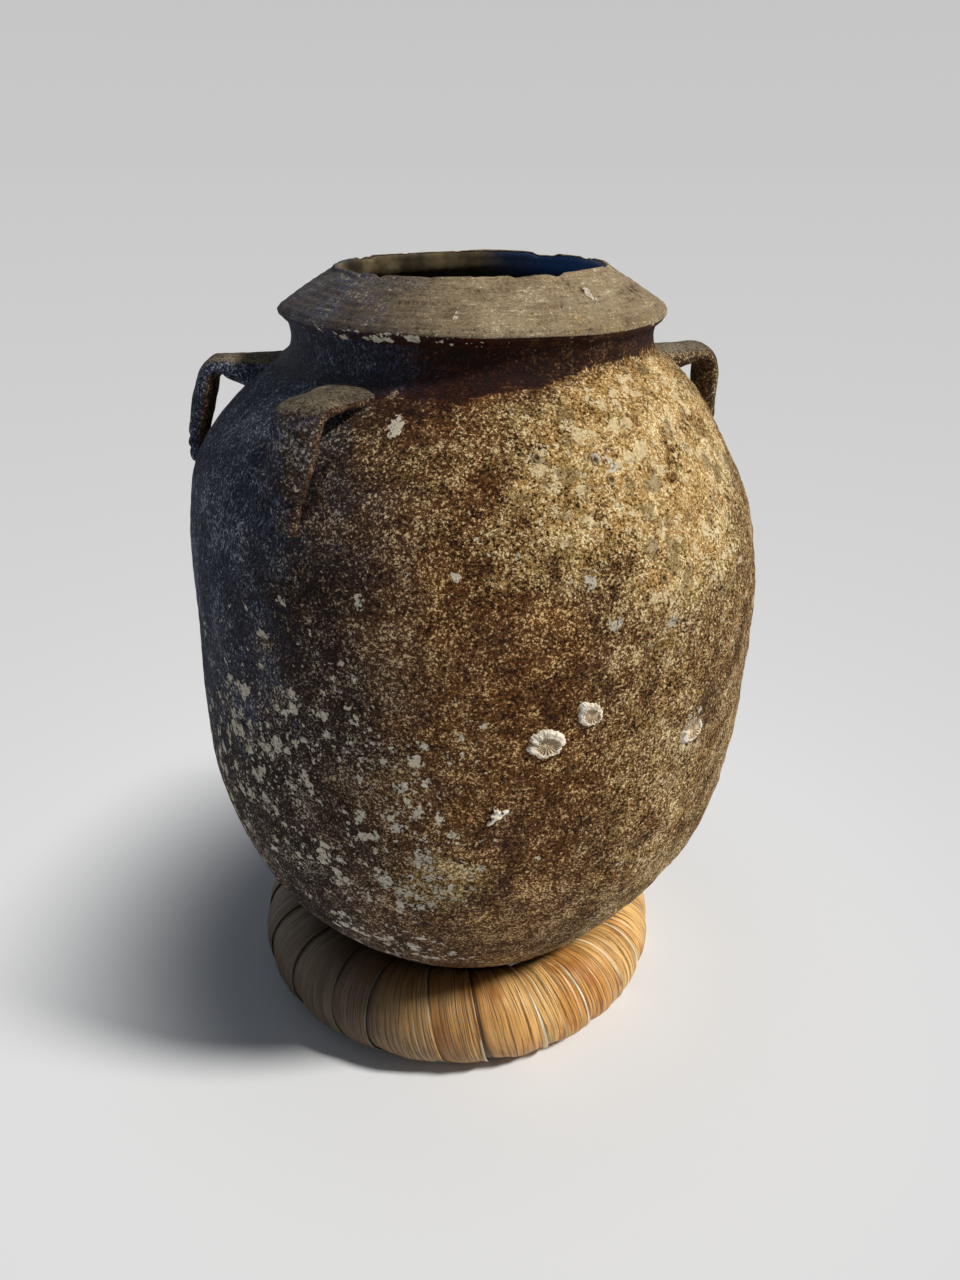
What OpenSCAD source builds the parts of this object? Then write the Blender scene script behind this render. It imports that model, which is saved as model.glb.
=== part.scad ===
// A stoneware storage jar of the martaban kind, standing on a ring of straw wrapped in dry leaf.
// Millimetres, +Z up, origin on the floor under the jar's axis. The side seen first faces -Y.
// Azimuths are measured from -Y towards +X.

/* [Jar body] */
// Outer radius at the widest point
belly_r = 141; // [120:1:170]
// Height of the widest point above the jar's base
belly_z = 182; // [160:1:210]
// Outer radius of the base
base_r = 52; // [45:1:60]
// Roundness of the lower wall, where 2 is an ellipse
lower_fullness = 2.9; // [2.4:0.1:3.4]
// Height of the shoulder, from the widest point up to the foot of the neck
shoulder_h = 144; // [125:1:170]
// Outer radius at the foot of the neck
shoulder_r = 92; // [86:1:98]
// Roundness of the shoulder
upper_fullness = 3.75; // [3:0.05:4.4]
// Thickness of the wall at the widest point
wall = 9; // [6:0.5:12]
// Thickness of the base
base_t = 12; // [8:0.5:18]
// Inner radius where the wall meets the floor inside
floor_r = 54; // [44:1:60]

/* [Neck and rim] */
// Outer radius at the waist of the neck
neck_r = 84.5; // [82:0.5:86]
// Inner radius of the neck
neck_inner_r = 75; // [70:0.5:78]
// Height of the neck
neck_h = 18; // [15:0.5:24]
// Outer radius of the flange of the rim
flange_r = 90; // [88:0.5:96]
// Thickness of the flange at its edge
flange_t = 7; // [5:0.5:9]
// Height of the rim, from the neck to the lip
rim_h = 24.2; // [22:0.1:30]
// Inner radius of the mouth
mouth_r = 60.5; // [56:0.5:64]
// Depth of the straight bore of the mouth
mouth_bore_h = 9; // [7:0.5:10]
// Thickness of the lip
lip_t = 3.4; // [3:0.1:5]

/* [Lugs] */
// Azimuths of the four lugs, which sit in two pairs
lug_azimuths = [-33, -90, 106, 164];
// Drop from the foot of the neck to the middle of a lug's bar
lug_drop = 3.3; // [1:0.1:6]
// How far the middle of the strap stands out from the shoulder at the bar's height
lug_out = 28; // [25:0.5:31]
// Drop from the bar to the tip of the strap's tongue
lug_h = 48; // [42:0.5:52]
// Radius of the bend between bar and strap
lug_bend_r = 10; // [7:0.5:13]
// Greatest width of the strap, along the wall
lug_w = 19; // [15:0.5:22]
// Thickness of the strap
lug_t = 8.8; // [7:0.2:10]

/* [Barnacles] */
// Azimuth, height on the jar, width, height and plate count of the large barnacle
large_barnacle = [12, 194, 17, 15, 11];
// The same for the small barnacle above it
small_barnacle = [19.5, 205, 10, 11, 9];
// The same for the barnacle on the right
side_barnacle = [44, 180, 15.5, 13, 10];
// How far a barnacle's rim stands out from the wall
barnacle_h = 2.6; // [1.5:0.1:4]
// Azimuth and height on the jar of the broken shell
shell_place = [4.5, 160.5];
// Width of the broken shell
shell_w = 8; // [6:0.5:10]

/* [Ring stand] */
// Radius of the hole of the ring
ring_inner_r = 66.7; // [63:0.1:70]
// Radius of the ring's outline
ring_outer_r = 114.3; // [111:0.1:118]
// How far the outline lies to the left of the hole, because the ring is thicker there
ring_shift = 8.7; // [0:0.1:9]
// Height of the ring
ring_h = 48; // [44:0.5:54]
// Number of turns of the leaf winding
strip_turns = 24; // [20:1:24]
// Thickness of the leaf winding
strip_t = 2.2; // [1.6:0.1:3]
// Gap between neighbouring turns, along the ring
strip_gap = 0.9; // [0.6:0.1:1.5]
// Depth of the flat that the ring stands on
ring_flat = 0.5; // [0.3:0.1:0.6]

/* [Fits] */
// Clearance between the jar and the ring, and between the straw and the leaf
clearance = 0.3; // [0.25:0.05:0.5]

/* [Hidden] */
$fn = 96;
stone = [0.30, 0.20, 0.15];
stone_dark = [0.22, 0.16, 0.13];
stone_grey = [0.40, 0.34, 0.28];
shell_white = [0.86, 0.82, 0.74];
leaf_tan = [0.72, 0.57, 0.38];
straw_tan = [0.62, 0.50, 0.30];

belly_inner_r = belly_r - wall;
neck_z = belly_z + shoulder_h;
rim_z = neck_z + neck_h;
lip_z = rim_z + rim_h;
// How many straight stretches stand for each curve of the outline
base_steps = 5;
wall_steps = 26;
neck_steps = 12;
edge_steps = 8;
lip_steps = 6;
// Roundness of the surface that the small shells are seated on
fine = 256;
// How far to either side of a height the wall's slope is taken
past = 1;

// Outer radius of the jar's lower wall at a height over its base
function lower_r(z) = base_r + (belly_r - base_r)
    * (1 - pow(max(0, (belly_z - z) / belly_z), lower_fullness));
// Inner radius of the lower wall
function lower_inner_r(z) = floor_r + (belly_inner_r - floor_r)
    * (1 - pow(max(0, (belly_z - z) / (belly_z - base_t)), lower_fullness));
// Outer radius of the shoulder
function upper_r(z) = shoulder_r + (belly_r - shoulder_r)
    * (1 - pow(max(0, (z - belly_z) / shoulder_h), upper_fullness));
// Inner radius of the shoulder
function upper_inner_r(z) = neck_inner_r + (belly_inner_r - neck_inner_r)
    * (1 - pow(max(0, (z - belly_z) / shoulder_h), upper_fullness));
function outer_r(z) = z < belly_z ? lower_r(z) : upper_r(z);
// Height over the base at which the lower wall has a radius, the inverse of lower_r
function lower_height(r) = belly_z
    * (1 - pow(1 - (r - base_r) / (belly_r - base_r), 1 / lower_fullness));

function spaced(a, b, n) = [for (i = [0 : n]) a + (b - a) * i / n];
function backwards(list) = [for (i = [len(list) - 1 : -1 : 0]) list[i]];
// Heights at which the walls are drawn, closer together where they curve most
wall_heights = [for (t = spaced(0, 90, wall_steps)) base_t + (belly_z - base_t) * (1 - cos(t))];
shoulder_heights = [for (t = spaced(0, 90, wall_steps)) belly_z + shoulder_h * sin(t)];

// The ring's section at an azimuth: from the hole, which is centred on the jar, out to an
// outline whose centre lies to the left. The ring grows a little taller where it is wider.
function ring_out(a) = -ring_shift * sin(a)
    + sqrt(pow(ring_outer_r, 2) - pow(ring_shift * cos(a), 2));
function ring_half_w(a) = (ring_out(a) - ring_inner_r) / 2;
ring_mean_half_w = (ring_outer_r - ring_inner_r) / 2;
ring_rise = 0.16;
function ring_half_h(a) = ring_h / 2 + ring_rise * (ring_half_w(a) - ring_mean_half_w);
// A point over the ring's straw at azimuth a and angle b round the section
function on_ring(a, b, lift) =
    let (w = ring_half_w(a) - strip_t + lift,
         h = ring_half_h(a) - strip_t + lift,
         r = ring_inner_r + ring_half_w(a) + w * cos(b))
    [r * sin(a), -r * cos(a), max(0, ring_half_h(a) - ring_flat + h * sin(b))];
function ring_top(a, r) =
    let (w = ring_half_w(a), u = (r - ring_inner_r - w) / w)
    ring_half_h(a) - ring_flat + ring_half_h(a) * sqrt(max(0, 1 - u * u));

// The jar sinks into the ring until its wall is a clearance away from it. Where they come
// closest is looked for along rays round the ring, from its hole out to its crest.
seat_step = 0.5;
seat_turn = 15;
seat_z = clearance * sqrt(2) + max([for (a = [0 : seat_turn : 360 - seat_turn])
    for (r = [ring_inner_r + 2 * seat_step : seat_step : ring_inner_r + ring_mean_half_w])
        ring_top(a, r) - lower_height(r)]);

module on_seat() {
    translate([0, 0, seat_z]) children();
}

module base_disc() {
    heights = spaced(0, base_t, base_steps);
    color(stone_dark) on_seat() rotate_extrude() polygon(concat(
        [[0, 0]], [for (z = heights) [lower_r(z), z]], [[0, base_t]]));
}

module lower_wall() {
    color(stone) on_seat() rotate_extrude() polygon(concat(
        [for (z = wall_heights) [lower_r(z), z]],
        [for (z = backwards(wall_heights)) [lower_inner_r(z), z]]));
}

module upper_wall() {
    color(stone) on_seat() rotate_extrude() polygon(concat(
        [for (z = shoulder_heights) [upper_r(z), z]],
        [for (z = backwards(shoulder_heights)) [upper_inner_r(z), z]]));
}

// The neck draws in to a waist between the shoulder and the flange
under_flange_inset = 3;
under_flange_r = flange_r - under_flange_inset;
function neck_outer_r(t) = t < 0.5
    ? neck_r + (shoulder_r - neck_r) * pow(1 - 2 * t, 2)
    : neck_r + (under_flange_r - neck_r) * pow(2 * t - 1, 2);

module neck() {
    color(stone_dark) on_seat() rotate_extrude() polygon(concat(
        [for (t = spaced(0, 1, neck_steps)) [neck_outer_r(t), neck_z + neck_h * t]],
        [[neck_inner_r, rim_z], [neck_inner_r, neck_z]]));
}

// The rim is a cone from the flange up to a thin lip, hollow under its own slope
module rim_collar() {
    edge = flange_t / 2;
    lip = lip_t / 2;
    edge_z = rim_z + edge;
    lip_top = lip_z - lip;
    lean = atan2(lip_top - edge_z, flange_r - edge - mouth_r - lip);
    color(stone_grey) on_seat() rotate_extrude() polygon(concat(
        [[under_flange_r, rim_z]],
        [for (a = spaced(-90, 90 - lean, edge_steps))
            [flange_r - edge + edge * cos(a), edge_z + edge * sin(a)]],
        [for (a = spaced(90 - lean, 180, lip_steps))
            [mouth_r + lip + lip * cos(a), lip_top + lip * sin(a)]],
        [[mouth_r, lip_z - mouth_bore_h], [neck_inner_r, rim_z]]));
}

// Everything inside the jar's outer surface, which cuts what is pressed on to it
module jar_volume() {
    rotate_extrude() polygon(concat(
        [[0, 0]],
        [for (z = wall_heights) [lower_r(z), z]],
        [for (z = shoulder_heights) [upper_r(z), z]],
        [for (t = spaced(0, 1, neck_steps)) [neck_outer_r(t), neck_z + neck_h * t]],
        [[0, rim_z]]));
}

// A lug is one strap: a level bar out of the shoulder, a bend, and a tongue pressed back on.
// Its two ends start inside the wall, and what lies inside is cut away.
lug_sunk = 6;
lug_z = neck_z - lug_drop;
lug_root_r = shoulder_r - lug_sunk;
lug_reach = upper_r(lug_z) + lug_out;
lug_foot_r = upper_r(lug_z - lug_h);
lug_slope = atan2(lug_foot_r - lug_reach, lug_h);
lug_turn = 90 - lug_slope;
lug_tangent = lug_bend_r * tan(lug_turn / 2);
lug_bar_l = lug_reach - lug_root_r - lug_tangent;
lug_arc_l = lug_bend_r * lug_turn * PI / 180;
lug_strap_l = norm([lug_h, lug_foot_r - lug_reach]) - lug_tangent;
lug_path_l = lug_bar_l + lug_arc_l + lug_strap_l;
// Place and heading of the strap's middle line after a length s, as [r, z, heading]
function lug_path(s) = s < lug_bar_l
    ? [lug_root_r + s, lug_z, 0]
    : s < lug_bar_l + lug_arc_l
        ? let (a = (s - lug_bar_l) / lug_bend_r * 180 / PI)
            [lug_root_r + lug_bar_l + lug_bend_r * sin(a), lug_z - lug_bend_r * (1 - cos(a)), a]
        : let (d = s - lug_bar_l - lug_arc_l, a = lug_turn)
            [lug_root_r + lug_bar_l + lug_bend_r * sin(a) + d * cos(a),
             lug_z - lug_bend_r * (1 - cos(a)) - d * sin(a), a];
// The strap spreads and thickens at its root, is widest halfway down and thins to a tongue.
// Each of these is a share of its width or thickness, over a share of its length.
lug_plain_w = 0.86;
lug_root_spread = 0.75;
lug_root_l = 0.3;
lug_swell = 0.14;
lug_swell_l = 0.5;
lug_tip_narrow = 0.5;
lug_tip_l = 0.3;
lug_root_thick = 1.1;
lug_root_thick_l = 0.36;
lug_tip_thin = 0.45;
lug_tip_thin_l = 0.14;
// 1 at the strap's root or tip, falling to 0 over a share of its length
function near_root(t, l) = pow(max(0, 1 - t / l), 2);
function near_tip(t, l) = near_root(1 - t, l);
function lug_half_w(t) = lug_w / 2 * (lug_plain_w + lug_root_spread * near_root(t, lug_root_l)
    + lug_swell * sin(180 * min(1, max(0, (t - lug_root_l) / lug_swell_l)))
    - lug_tip_narrow * near_tip(t, lug_tip_l));
function lug_half_t(t) = lug_t / 2 * (1 + lug_root_thick * near_root(t, lug_root_thick_l)
    - lug_tip_thin * near_tip(t, lug_tip_thin_l));
lug_rings = 20;
lug_sides = 12;

module lug_solid() {
    points = [for (i = [0 : lug_rings]) for (j = [0 : lug_sides - 1])
        let (t = i / lug_rings, p = lug_path(lug_path_l * t), b = 360 * j / lug_sides,
             n = lug_half_t(t) * sin(b))
        [lug_half_w(t) * cos(b), -(p[0] + n * sin(p[2])), p[1] + n * cos(p[2])]];
    next = function (j) (j + 1) % lug_sides;
    sides = [for (i = [0 : lug_rings - 1]) for (j = [0 : lug_sides - 1])
        let (a = i * lug_sides + j, b = i * lug_sides + next(j), c = a + lug_sides, d = b + lug_sides)
        each [[a, d, b], [a, c, d]]];
    last = lug_rings * lug_sides;
    caps = [for (j = [1 : lug_sides - 2]) each [[0, j, j + 1], [last, last + j + 1, last + j]]];
    polyhedron(points, concat(sides, caps));
}

module lug(azimuth) {
    color(stone_dark) on_seat() difference() {
        rotate([0, 0, azimuth]) lug_solid();
        jar_volume();
    }
}

// A place on the jar's wall: x runs along the wall, y up it and z straight out of it
module on_wall(azimuth, z) {
    slope = atan2(outer_r(z + past) - outer_r(z - past), 2 * past);
    rotate([0, 0, azimuth]) translate([0, -outer_r(z), z]) rotate([90 - slope, 0, 0]) children();
}

// The outline of a barnacle is an oval with one bump for each of its plates
plate_steps = 6;
plate_bump = 0.05;
module barnacle_outline(w, h, plates, share) {
    steps = plate_steps * plates;
    polygon([for (i = [0 : steps - 1])
        let (a = 360 * i / steps, bump = 1 - plate_bump * pow(cos(plates * a / 2), 2))
        [w / 2 * share * bump * cos(a), h / 2 * share * bump * sin(a)]]);
}

// What is left of an acorn barnacle: its floor, its outer wall and the ribs between them. The
// shares are of the shell's own width and height. All of it starts a little inside the wall.
shell_sunk = 2;
floor_share = 0.4;
wall_out_share = 0.97;
wall_in_share = 0.7;
rib_from_share = 0.16;
rib_l_share = 0.22;
rib_w_share = 0.036;
rib_h_share = 0.8;
module barnacle(place) {
    w = place[2];
    h = place[3];
    plates = place[4];
    color(shell_white) on_seat() difference() {
        on_wall(place[0], place[1]) translate([0, 0, -shell_sunk]) {
            linear_extrude(height = shell_sunk + barnacle_h * floor_share)
                barnacle_outline(w, h, plates, 1);
            linear_extrude(height = shell_sunk + barnacle_h) difference() {
                barnacle_outline(w, h, plates, wall_out_share);
                barnacle_outline(w, h, plates, wall_in_share);
            }
            for (i = [0 : plates - 1]) rotate([0, 0, 360 * (i + 0.5) / plates])
                translate([w * rib_from_share, -w * rib_w_share / 2, 0])
                    cube([w * rib_l_share, w * rib_w_share, shell_sunk + barnacle_h * rib_h_share]);
        }
        jar_volume($fn = fine);
    }
}

// A curved flake of shell that stayed on the wall: a disc with a smaller one bitten out of it
flake_turn = 35;
flake_h_share = 0.7;
bite_share = [0.26, 0.1];
bite_r_share = 0.34;
module shell_fragment() {
    color(shell_white) on_seat() difference() {
        on_wall(shell_place[0], shell_place[1]) translate([0, 0, -shell_sunk])
            rotate([0, 0, flake_turn])
                linear_extrude(height = shell_sunk + barnacle_h * flake_h_share) difference() {
                    circle(r = shell_w / 2);
                    translate(shell_w * bite_share) circle(r = shell_w * bite_r_share);
                }
        jar_volume($fn = fine);
    }
}

// The straw under the leaf, one closed ring. The strip's straight steps cut in a little under
// its curve, most where the ring is widest, and the straw stays inside them.
core_around = 48;
core_sides = 16;
widest_azimuth = -90;

module straw_core() {
    sag = (ring_half_w(widest_azimuth) - strip_t) * (1 - cos(180 / strip_steps));
    points = [for (i = [0 : core_around - 1]) for (j = [0 : core_sides - 1])
        on_ring(360 * i / core_around, 360 * (j + 0.5) / core_sides, -clearance - sag)];
    at = function (i, j) (i % core_around) * core_sides + j % core_sides;
    faces = [for (i = [0 : core_around - 1]) for (j = [0 : core_sides - 1])
        each [[at(i, j), at(i, j + 1), at(i + 1, j + 1)], [at(i, j), at(i + 1, j + 1), at(i + 1, j)]]];
    color(straw_tan) polyhedron(points, faces);
}

// The leaf winding is one flat strip that goes round and round the straw. Its two ends face each
// other under the ring's inner side, a few degrees apart. Its section is a lens of six points,
// each a share of half the strip's width and a share of its thickness.
strip_steps = 24;
strip_pitch = 360 / strip_turns;
strip_start = -130;
strip_end_gap = 4;
strip_rings = strip_turns * strip_steps;
function strip_turn(i) = (i + (strip_end_gap / 360) * strip_steps * (0.5 - i / strip_rings))
    / strip_steps;
function strip_angle(i) = strip_start - 360 * strip_turn(i);
function strip_azimuth(i) = strip_pitch * strip_turn(i);
function strip_radius(i) =
    let (p = on_ring(strip_azimuth(i), strip_angle(i), 0)) norm([p[0], p[1]]);
function strip_half_deg(i) = (strip_pitch - strip_gap / strip_radius(i) * 180 / PI) / 2;
lens = [[-1, 0.45], [-0.6, 1], [0.6, 1], [1, 0.45], [0.7, 0], [-0.7, 0]];
strip_points = [for (i = [0 : strip_rings]) for (c = lens)
    on_ring(strip_azimuth(i) + c[0] * strip_half_deg(i), strip_angle(i), c[1] * strip_t)];

module leaf_wrap() {
    n = len(lens);
    sides = [for (i = [0 : strip_rings - 1]) for (j = [0 : n - 1])
        let (a = i * n + j, b = i * n + (j + 1) % n, c = a + n, d = b + n)
        each [[a, b, d], [a, d, c]]];
    last = strip_rings * n;
    caps = [for (j = [1 : n - 2]) each [[0, j + 1, j], [last, last + j, last + j + 1]]];
    color(leaf_tan) polyhedron(strip_points, concat(sides, caps));
}

// The least gap of the winding to itself: each turn's edge against the next turn's, and its ends
function edge_point(i, j) = strip_points[i * len(lens) + j];
turn_gaps = [for (i = [0 : strip_rings - strip_steps]) for (k = [-1 : 1])
    if (i + strip_steps + k <= strip_rings)
        norm(edge_point(i, 3) - edge_point(i + strip_steps + k, 0))];
end_gap = min([for (j = [0 : len(lens) - 1]) for (k = [0 : len(lens) - 1])
    norm(edge_point(0, j) - edge_point(strip_rings, k))]);
echo(least_gap_between_turns = min(turn_gaps), gap_between_ends = end_gap);
echo(seat_height = seat_z, overall_height = seat_z + lip_z);

base_disc();
lower_wall();
upper_wall();
neck();
rim_collar();
lug(lug_azimuths[0]);  // lug_front_left
lug(lug_azimuths[1]);  // lug_left
lug(lug_azimuths[2]);  // lug_right
lug(lug_azimuths[3]);  // lug_back
barnacle(large_barnacle);  // barnacle_large
barnacle(small_barnacle);  // barnacle_small
barnacle(side_barnacle);  // barnacle_side
shell_fragment();
straw_core();
leaf_wrap();
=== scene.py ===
# %% [markdown]
# # An old storage jar on a leaf-wrapped ring
# This lesson dresses a jar that is already built to size. The jar was thrown in stoneware, lay
# in the sea for a long time, and stands on a ring of straw wound with dry leaf. We keep every
# size from the built model and make only the looks: the worn surface, the crusts on it, the
# small shells that grew there and the fibres of the leaf.

# %% Load the built model
import math
import bpy
import numpy as np
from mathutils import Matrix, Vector


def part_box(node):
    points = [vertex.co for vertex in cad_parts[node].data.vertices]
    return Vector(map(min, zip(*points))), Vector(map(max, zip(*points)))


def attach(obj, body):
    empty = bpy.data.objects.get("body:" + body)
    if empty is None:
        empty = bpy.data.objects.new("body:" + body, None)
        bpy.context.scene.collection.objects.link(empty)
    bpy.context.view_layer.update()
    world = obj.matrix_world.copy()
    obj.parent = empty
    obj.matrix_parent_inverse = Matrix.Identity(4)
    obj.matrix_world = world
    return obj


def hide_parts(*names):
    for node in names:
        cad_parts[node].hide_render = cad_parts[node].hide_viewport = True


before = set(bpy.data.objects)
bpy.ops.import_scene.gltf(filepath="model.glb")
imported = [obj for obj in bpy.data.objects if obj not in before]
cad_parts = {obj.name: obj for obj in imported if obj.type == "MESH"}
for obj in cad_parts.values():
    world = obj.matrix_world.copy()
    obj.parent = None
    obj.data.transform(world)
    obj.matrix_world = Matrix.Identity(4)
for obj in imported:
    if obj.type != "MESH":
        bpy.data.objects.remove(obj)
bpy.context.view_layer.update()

mm = 0.001
full_turn = 2 * math.pi
print("pieces to dress:", sorted(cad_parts))

# %% [markdown]
# ## Camera
# A picture looks right only from the place it was taken. The jar was seen from close by and
# from a little above, so its mouth shows as a thin oval and its foot is drawn smaller. The
# camera is therefore set first, before anything is modelled.

# %% Set the camera
camera_distance = 507.1 * mm
camera_height = 438.5 * mm
camera_tilt = 64.89
lens_length = 29.36
sideways_shift = 0.0066

eye = bpy.data.cameras.new("eye")
eye.lens = lens_length
eye.sensor_width = 36
eye.shift_x = sideways_shift
eye.clip_start = 0.02
camera = bpy.data.objects.new("camera", eye)
camera.location = (0, -camera_distance, camera_height)
camera.rotation_euler = (math.radians(camera_tilt), 0, 0)
bpy.context.scene.collection.objects.link(camera)
bpy.context.scene.camera = camera
bpy.context.scene.view_settings.view_transform = "Standard"
print("camera looks down by", round(90 - camera_tilt, 1), "degrees")

# %% [markdown]
# ## Nodes with less typing
# A material is a tree of nodes. Two small helpers keep the trees readable: one adds a node and
# fills or links its inputs in one line, the other turns a colour given in screen values into the
# linear numbers that a renderer works with.

# %% Helpers for materials
def paint(red, green, blue):
    """A colour given in screen values, 0 to 255, as linear numbers."""
    shares = [c / 255 for c in (red, green, blue)]
    linear = [c / 12.92 if c < 0.04045 else ((c + 0.055) / 1.055) ** 2.4 for c in shares]
    return (*linear, 1)


def add(tree, kind, inputs=None, out=0, **settings):
    """Adds a node, sets it up, links or fills its inputs, and returns one of its outputs."""
    made = tree.nodes.new(kind)
    for name, value in settings.items():
        setattr(made, name, value)
    for name, value in (inputs or {}).items():
        if isinstance(value, bpy.types.NodeSocket):
            tree.links.new(value, made.inputs[name])
        else:
            made.inputs[name].default_value = value
    return made.outputs[out]


def mix(tree, mask, below, above):
    """Lays one colour over another where the mask is 1."""
    return add(tree, "ShaderNodeMix", {0: mask, 6: below, 7: above}, 2, data_type="RGBA")


def math_node(tree, operation, first, second=0.0):
    return add(tree, "ShaderNodeMath", {0: first, 1: second}, operation=operation)


def rise(tree, value, low, high):
    """0 below low, 1 above high and smooth between."""
    return add(tree, "ShaderNodeMapRange", {"Value": value, "From Min": low, "From Max": high},
               interpolation_type="SMOOTHSTEP")


def stretched(tree, where, scale):
    return add(tree, "ShaderNodeMapping", {"Vector": where, "Scale": scale})


def noise(tree, where, size, detail=3.0, roughness=0.55):
    """Cloudy noise whose patches are about size metres across."""
    return add(tree, "ShaderNodeTexNoise", {"Vector": where, "Scale": 1 / size,
               "Detail": detail, "Roughness": roughness}, "Fac")


def group_with(name, numbers, outputs=("Mask",)):
    """A new shader group with number inputs, an input for the place, and its outputs."""
    tree = bpy.data.node_groups.new(name, "ShaderNodeTree")
    tree.interface.new_socket("Vector", in_out="INPUT", socket_type="NodeSocketVector")
    for label, value in numbers.items():
        kind = "NodeSocketVector" if isinstance(value, tuple) else "NodeSocketFloat"
        socket = tree.interface.new_socket(label, in_out="INPUT", socket_type=kind)
        socket.default_value = value
    for label in outputs:
        tree.interface.new_socket(label, in_out="OUTPUT", socket_type="NodeSocketFloat")
    return tree, tree.nodes.new("NodeGroupInput").outputs, tree.nodes.new("NodeGroupOutput").inputs


def use(tree, group, inputs, out=0):
    return add(tree, "ShaderNodeGroup", inputs, out, node_tree=group)


def new_material(name):
    """An empty material with its shader, and the place on the piece."""
    material = bpy.data.materials.new(name)
    material.use_nodes = True
    tree = material.node_tree
    shader = tree.nodes["Principled BSDF"]
    where = tree.nodes.new("ShaderNodeTexCoord").outputs["Object"]
    return material, tree, shader, where


def finish_material(tree, shader, colour, roughness, height, depth):
    """Feeds colour, roughness and relief to the shader. depth is in metres."""
    tree.links.new(colour, shader.inputs["Base Color"])
    tree.links.new(roughness, shader.inputs["Roughness"])
    bump = add(tree, "ShaderNodeBump", {"Height": height, "Distance": depth, "Strength": 1.0})
    tree.links.new(bump, shader.inputs["Normal"])

# %% [markdown]
# ## Floor and light
# The jar stands in low warm light from the right, and the rest of the room is dim and a little
# blue. A sun lamp with a wide angle gives that light with soft shadows, and the world gives the
# dim part. The floor is pale and holds the shadow. Far away it fades into the backdrop, which
# only the camera and shiny things see, so the backdrop adds no light to the jar.

# %% Light the room
sun_azimuth = 74
sun_height = 47
sun_strength = 3.5
sun_width = 9
room_strength = 0.12

lamp = bpy.data.lights.new("low_sun", "SUN")
lamp.energy = sun_strength
lamp.angle = math.radians(sun_width)
lamp.color = (1.0, 0.94, 0.84)
sun = bpy.data.objects.new("low_sun", lamp)
sun.rotation_euler = (math.radians(90 - sun_height), 0, math.radians(sun_azimuth))
bpy.context.scene.collection.objects.link(sun)

backdrop_top = paint(188, 188, 188)
backdrop_low = paint(200, 200, 200)
floor_front = paint(232, 232, 232)

room = bpy.data.worlds.new("room")
bpy.context.scene.world = room
room.use_nodes = True
tree = room.node_tree
tree.nodes.clear()
path = tree.nodes.new("ShaderNodeLightPath")
seen = math_node(tree, "MAXIMUM", path.outputs["Is Camera Ray"], path.outputs["Is Glossy Ray"])
seen = math_node(tree, "MAXIMUM", seen, path.outputs["Is Transmission Ray"])
up = add(tree, "ShaderNodeSeparateXYZ",
         {0: tree.nodes.new("ShaderNodeTexCoord").outputs["Generated"]}, "Z")
sky = mix(tree, rise(tree, up, 0.0, 0.35), backdrop_low, backdrop_top)
dim = add(tree, "ShaderNodeBackground", {"Color": (0.88, 0.94, 1.0, 1), "Strength": room_strength})
plain = add(tree, "ShaderNodeBackground", {"Color": sky, "Strength": 1.0})
shown = add(tree, "ShaderNodeMixShader", {0: seen, 1: dim, 2: plain})
tree.links.new(shown, tree.nodes.new("ShaderNodeOutputWorld").inputs["Surface"])

# %% Lay the floor
def alone():
    """Deselects everything, so that the next operator acts on the new piece only."""
    if bpy.context.object and bpy.context.object.mode != "OBJECT":
        bpy.ops.object.mode_set(mode="OBJECT")
    bpy.ops.object.select_all(action="DESELECT")


alone()
bpy.ops.mesh.primitive_plane_add(size=60, location=(0, 0, 0))
floor = bpy.context.object
floor.name = "floor"

material, tree, shader, where = new_material("pale_floor")
distance = add(tree, "ShaderNodeVectorMath", {0: where}, "Value", operation="LENGTH")
path = tree.nodes.new("ShaderNodeLightPath")
seen = math_node(tree, "MAXIMUM", path.outputs["Is Camera Ray"], path.outputs["Is Glossy Ray"])
seen = math_node(tree, "MAXIMUM", seen, path.outputs["Is Transmission Ray"])
far = math_node(tree, "MULTIPLY", seen, rise(tree, distance, 0.14, 0.33))
cloudy = noise(tree, where, 0.5, 2.0)
near_floor = mix(tree, cloudy, paint(227, 232, 241), paint(231, 236, 245))
tree.links.new(near_floor, shader.inputs["Base Color"])
shader.inputs["Roughness"].default_value = 0.7
shader.inputs["Specular IOR Level"].default_value = 0.1
nearness = math_node(tree, "POWER", math_node(tree, "DIVIDE", 0.17, distance), 0.7)
sweep_colour = mix(tree, math_node(tree, "MINIMUM", nearness, 1.0), backdrop_low, floor_front)
sweep = add(tree, "ShaderNodeEmission", {"Color": sweep_colour, "Strength": 1.0})
lit = add(tree, "ShaderNodeMixShader", {0: far, 1: shader.outputs[0], 2: sweep})
tree.links.new(lit, tree.nodes["Material Output"].inputs["Surface"])
floor.data.materials.append(material)
print("light from", sun_azimuth, "degrees to the right,", sun_height, "degrees up")

# %% [markdown]
# ## Sizes from the built model
# The body of the jar was turned, so one outline describes it. Instead of typing that outline
# again, we read it from the built pieces: at each height, the largest radius is the outside of
# the wall and the smallest is the inside.

# %% Read the turned pieces
def points_of(node):
    """All corners of a built piece, as rows of x, y and z."""
    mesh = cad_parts[node].data
    flat = np.zeros(len(mesh.vertices) * 3)
    mesh.vertices.foreach_get("co", flat)
    return flat.reshape(-1, 3)


def radius_of(points):
    return np.hypot(points[:, 0], points[:, 1])


def outline(node, outside=True):
    """Radius and height of a turned piece from its foot to its top, outside or inside."""
    points = points_of(node)
    points = points[np.argsort(points[:, 2])]
    gaps = np.flatnonzero(np.diff(points[:, 2]) > 0.05 * mm) + 1
    rings = np.split(points, gaps)
    walls = [np.ptp(radius_of(ring)) for ring in rings]
    pick = max if outside else min
    return np.array([(pick(radius_of(ring)), ring[:, 2].mean())
                     for ring, wall in zip(rings, walls) if wall >= 0.5 * np.median(walls)])


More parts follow.
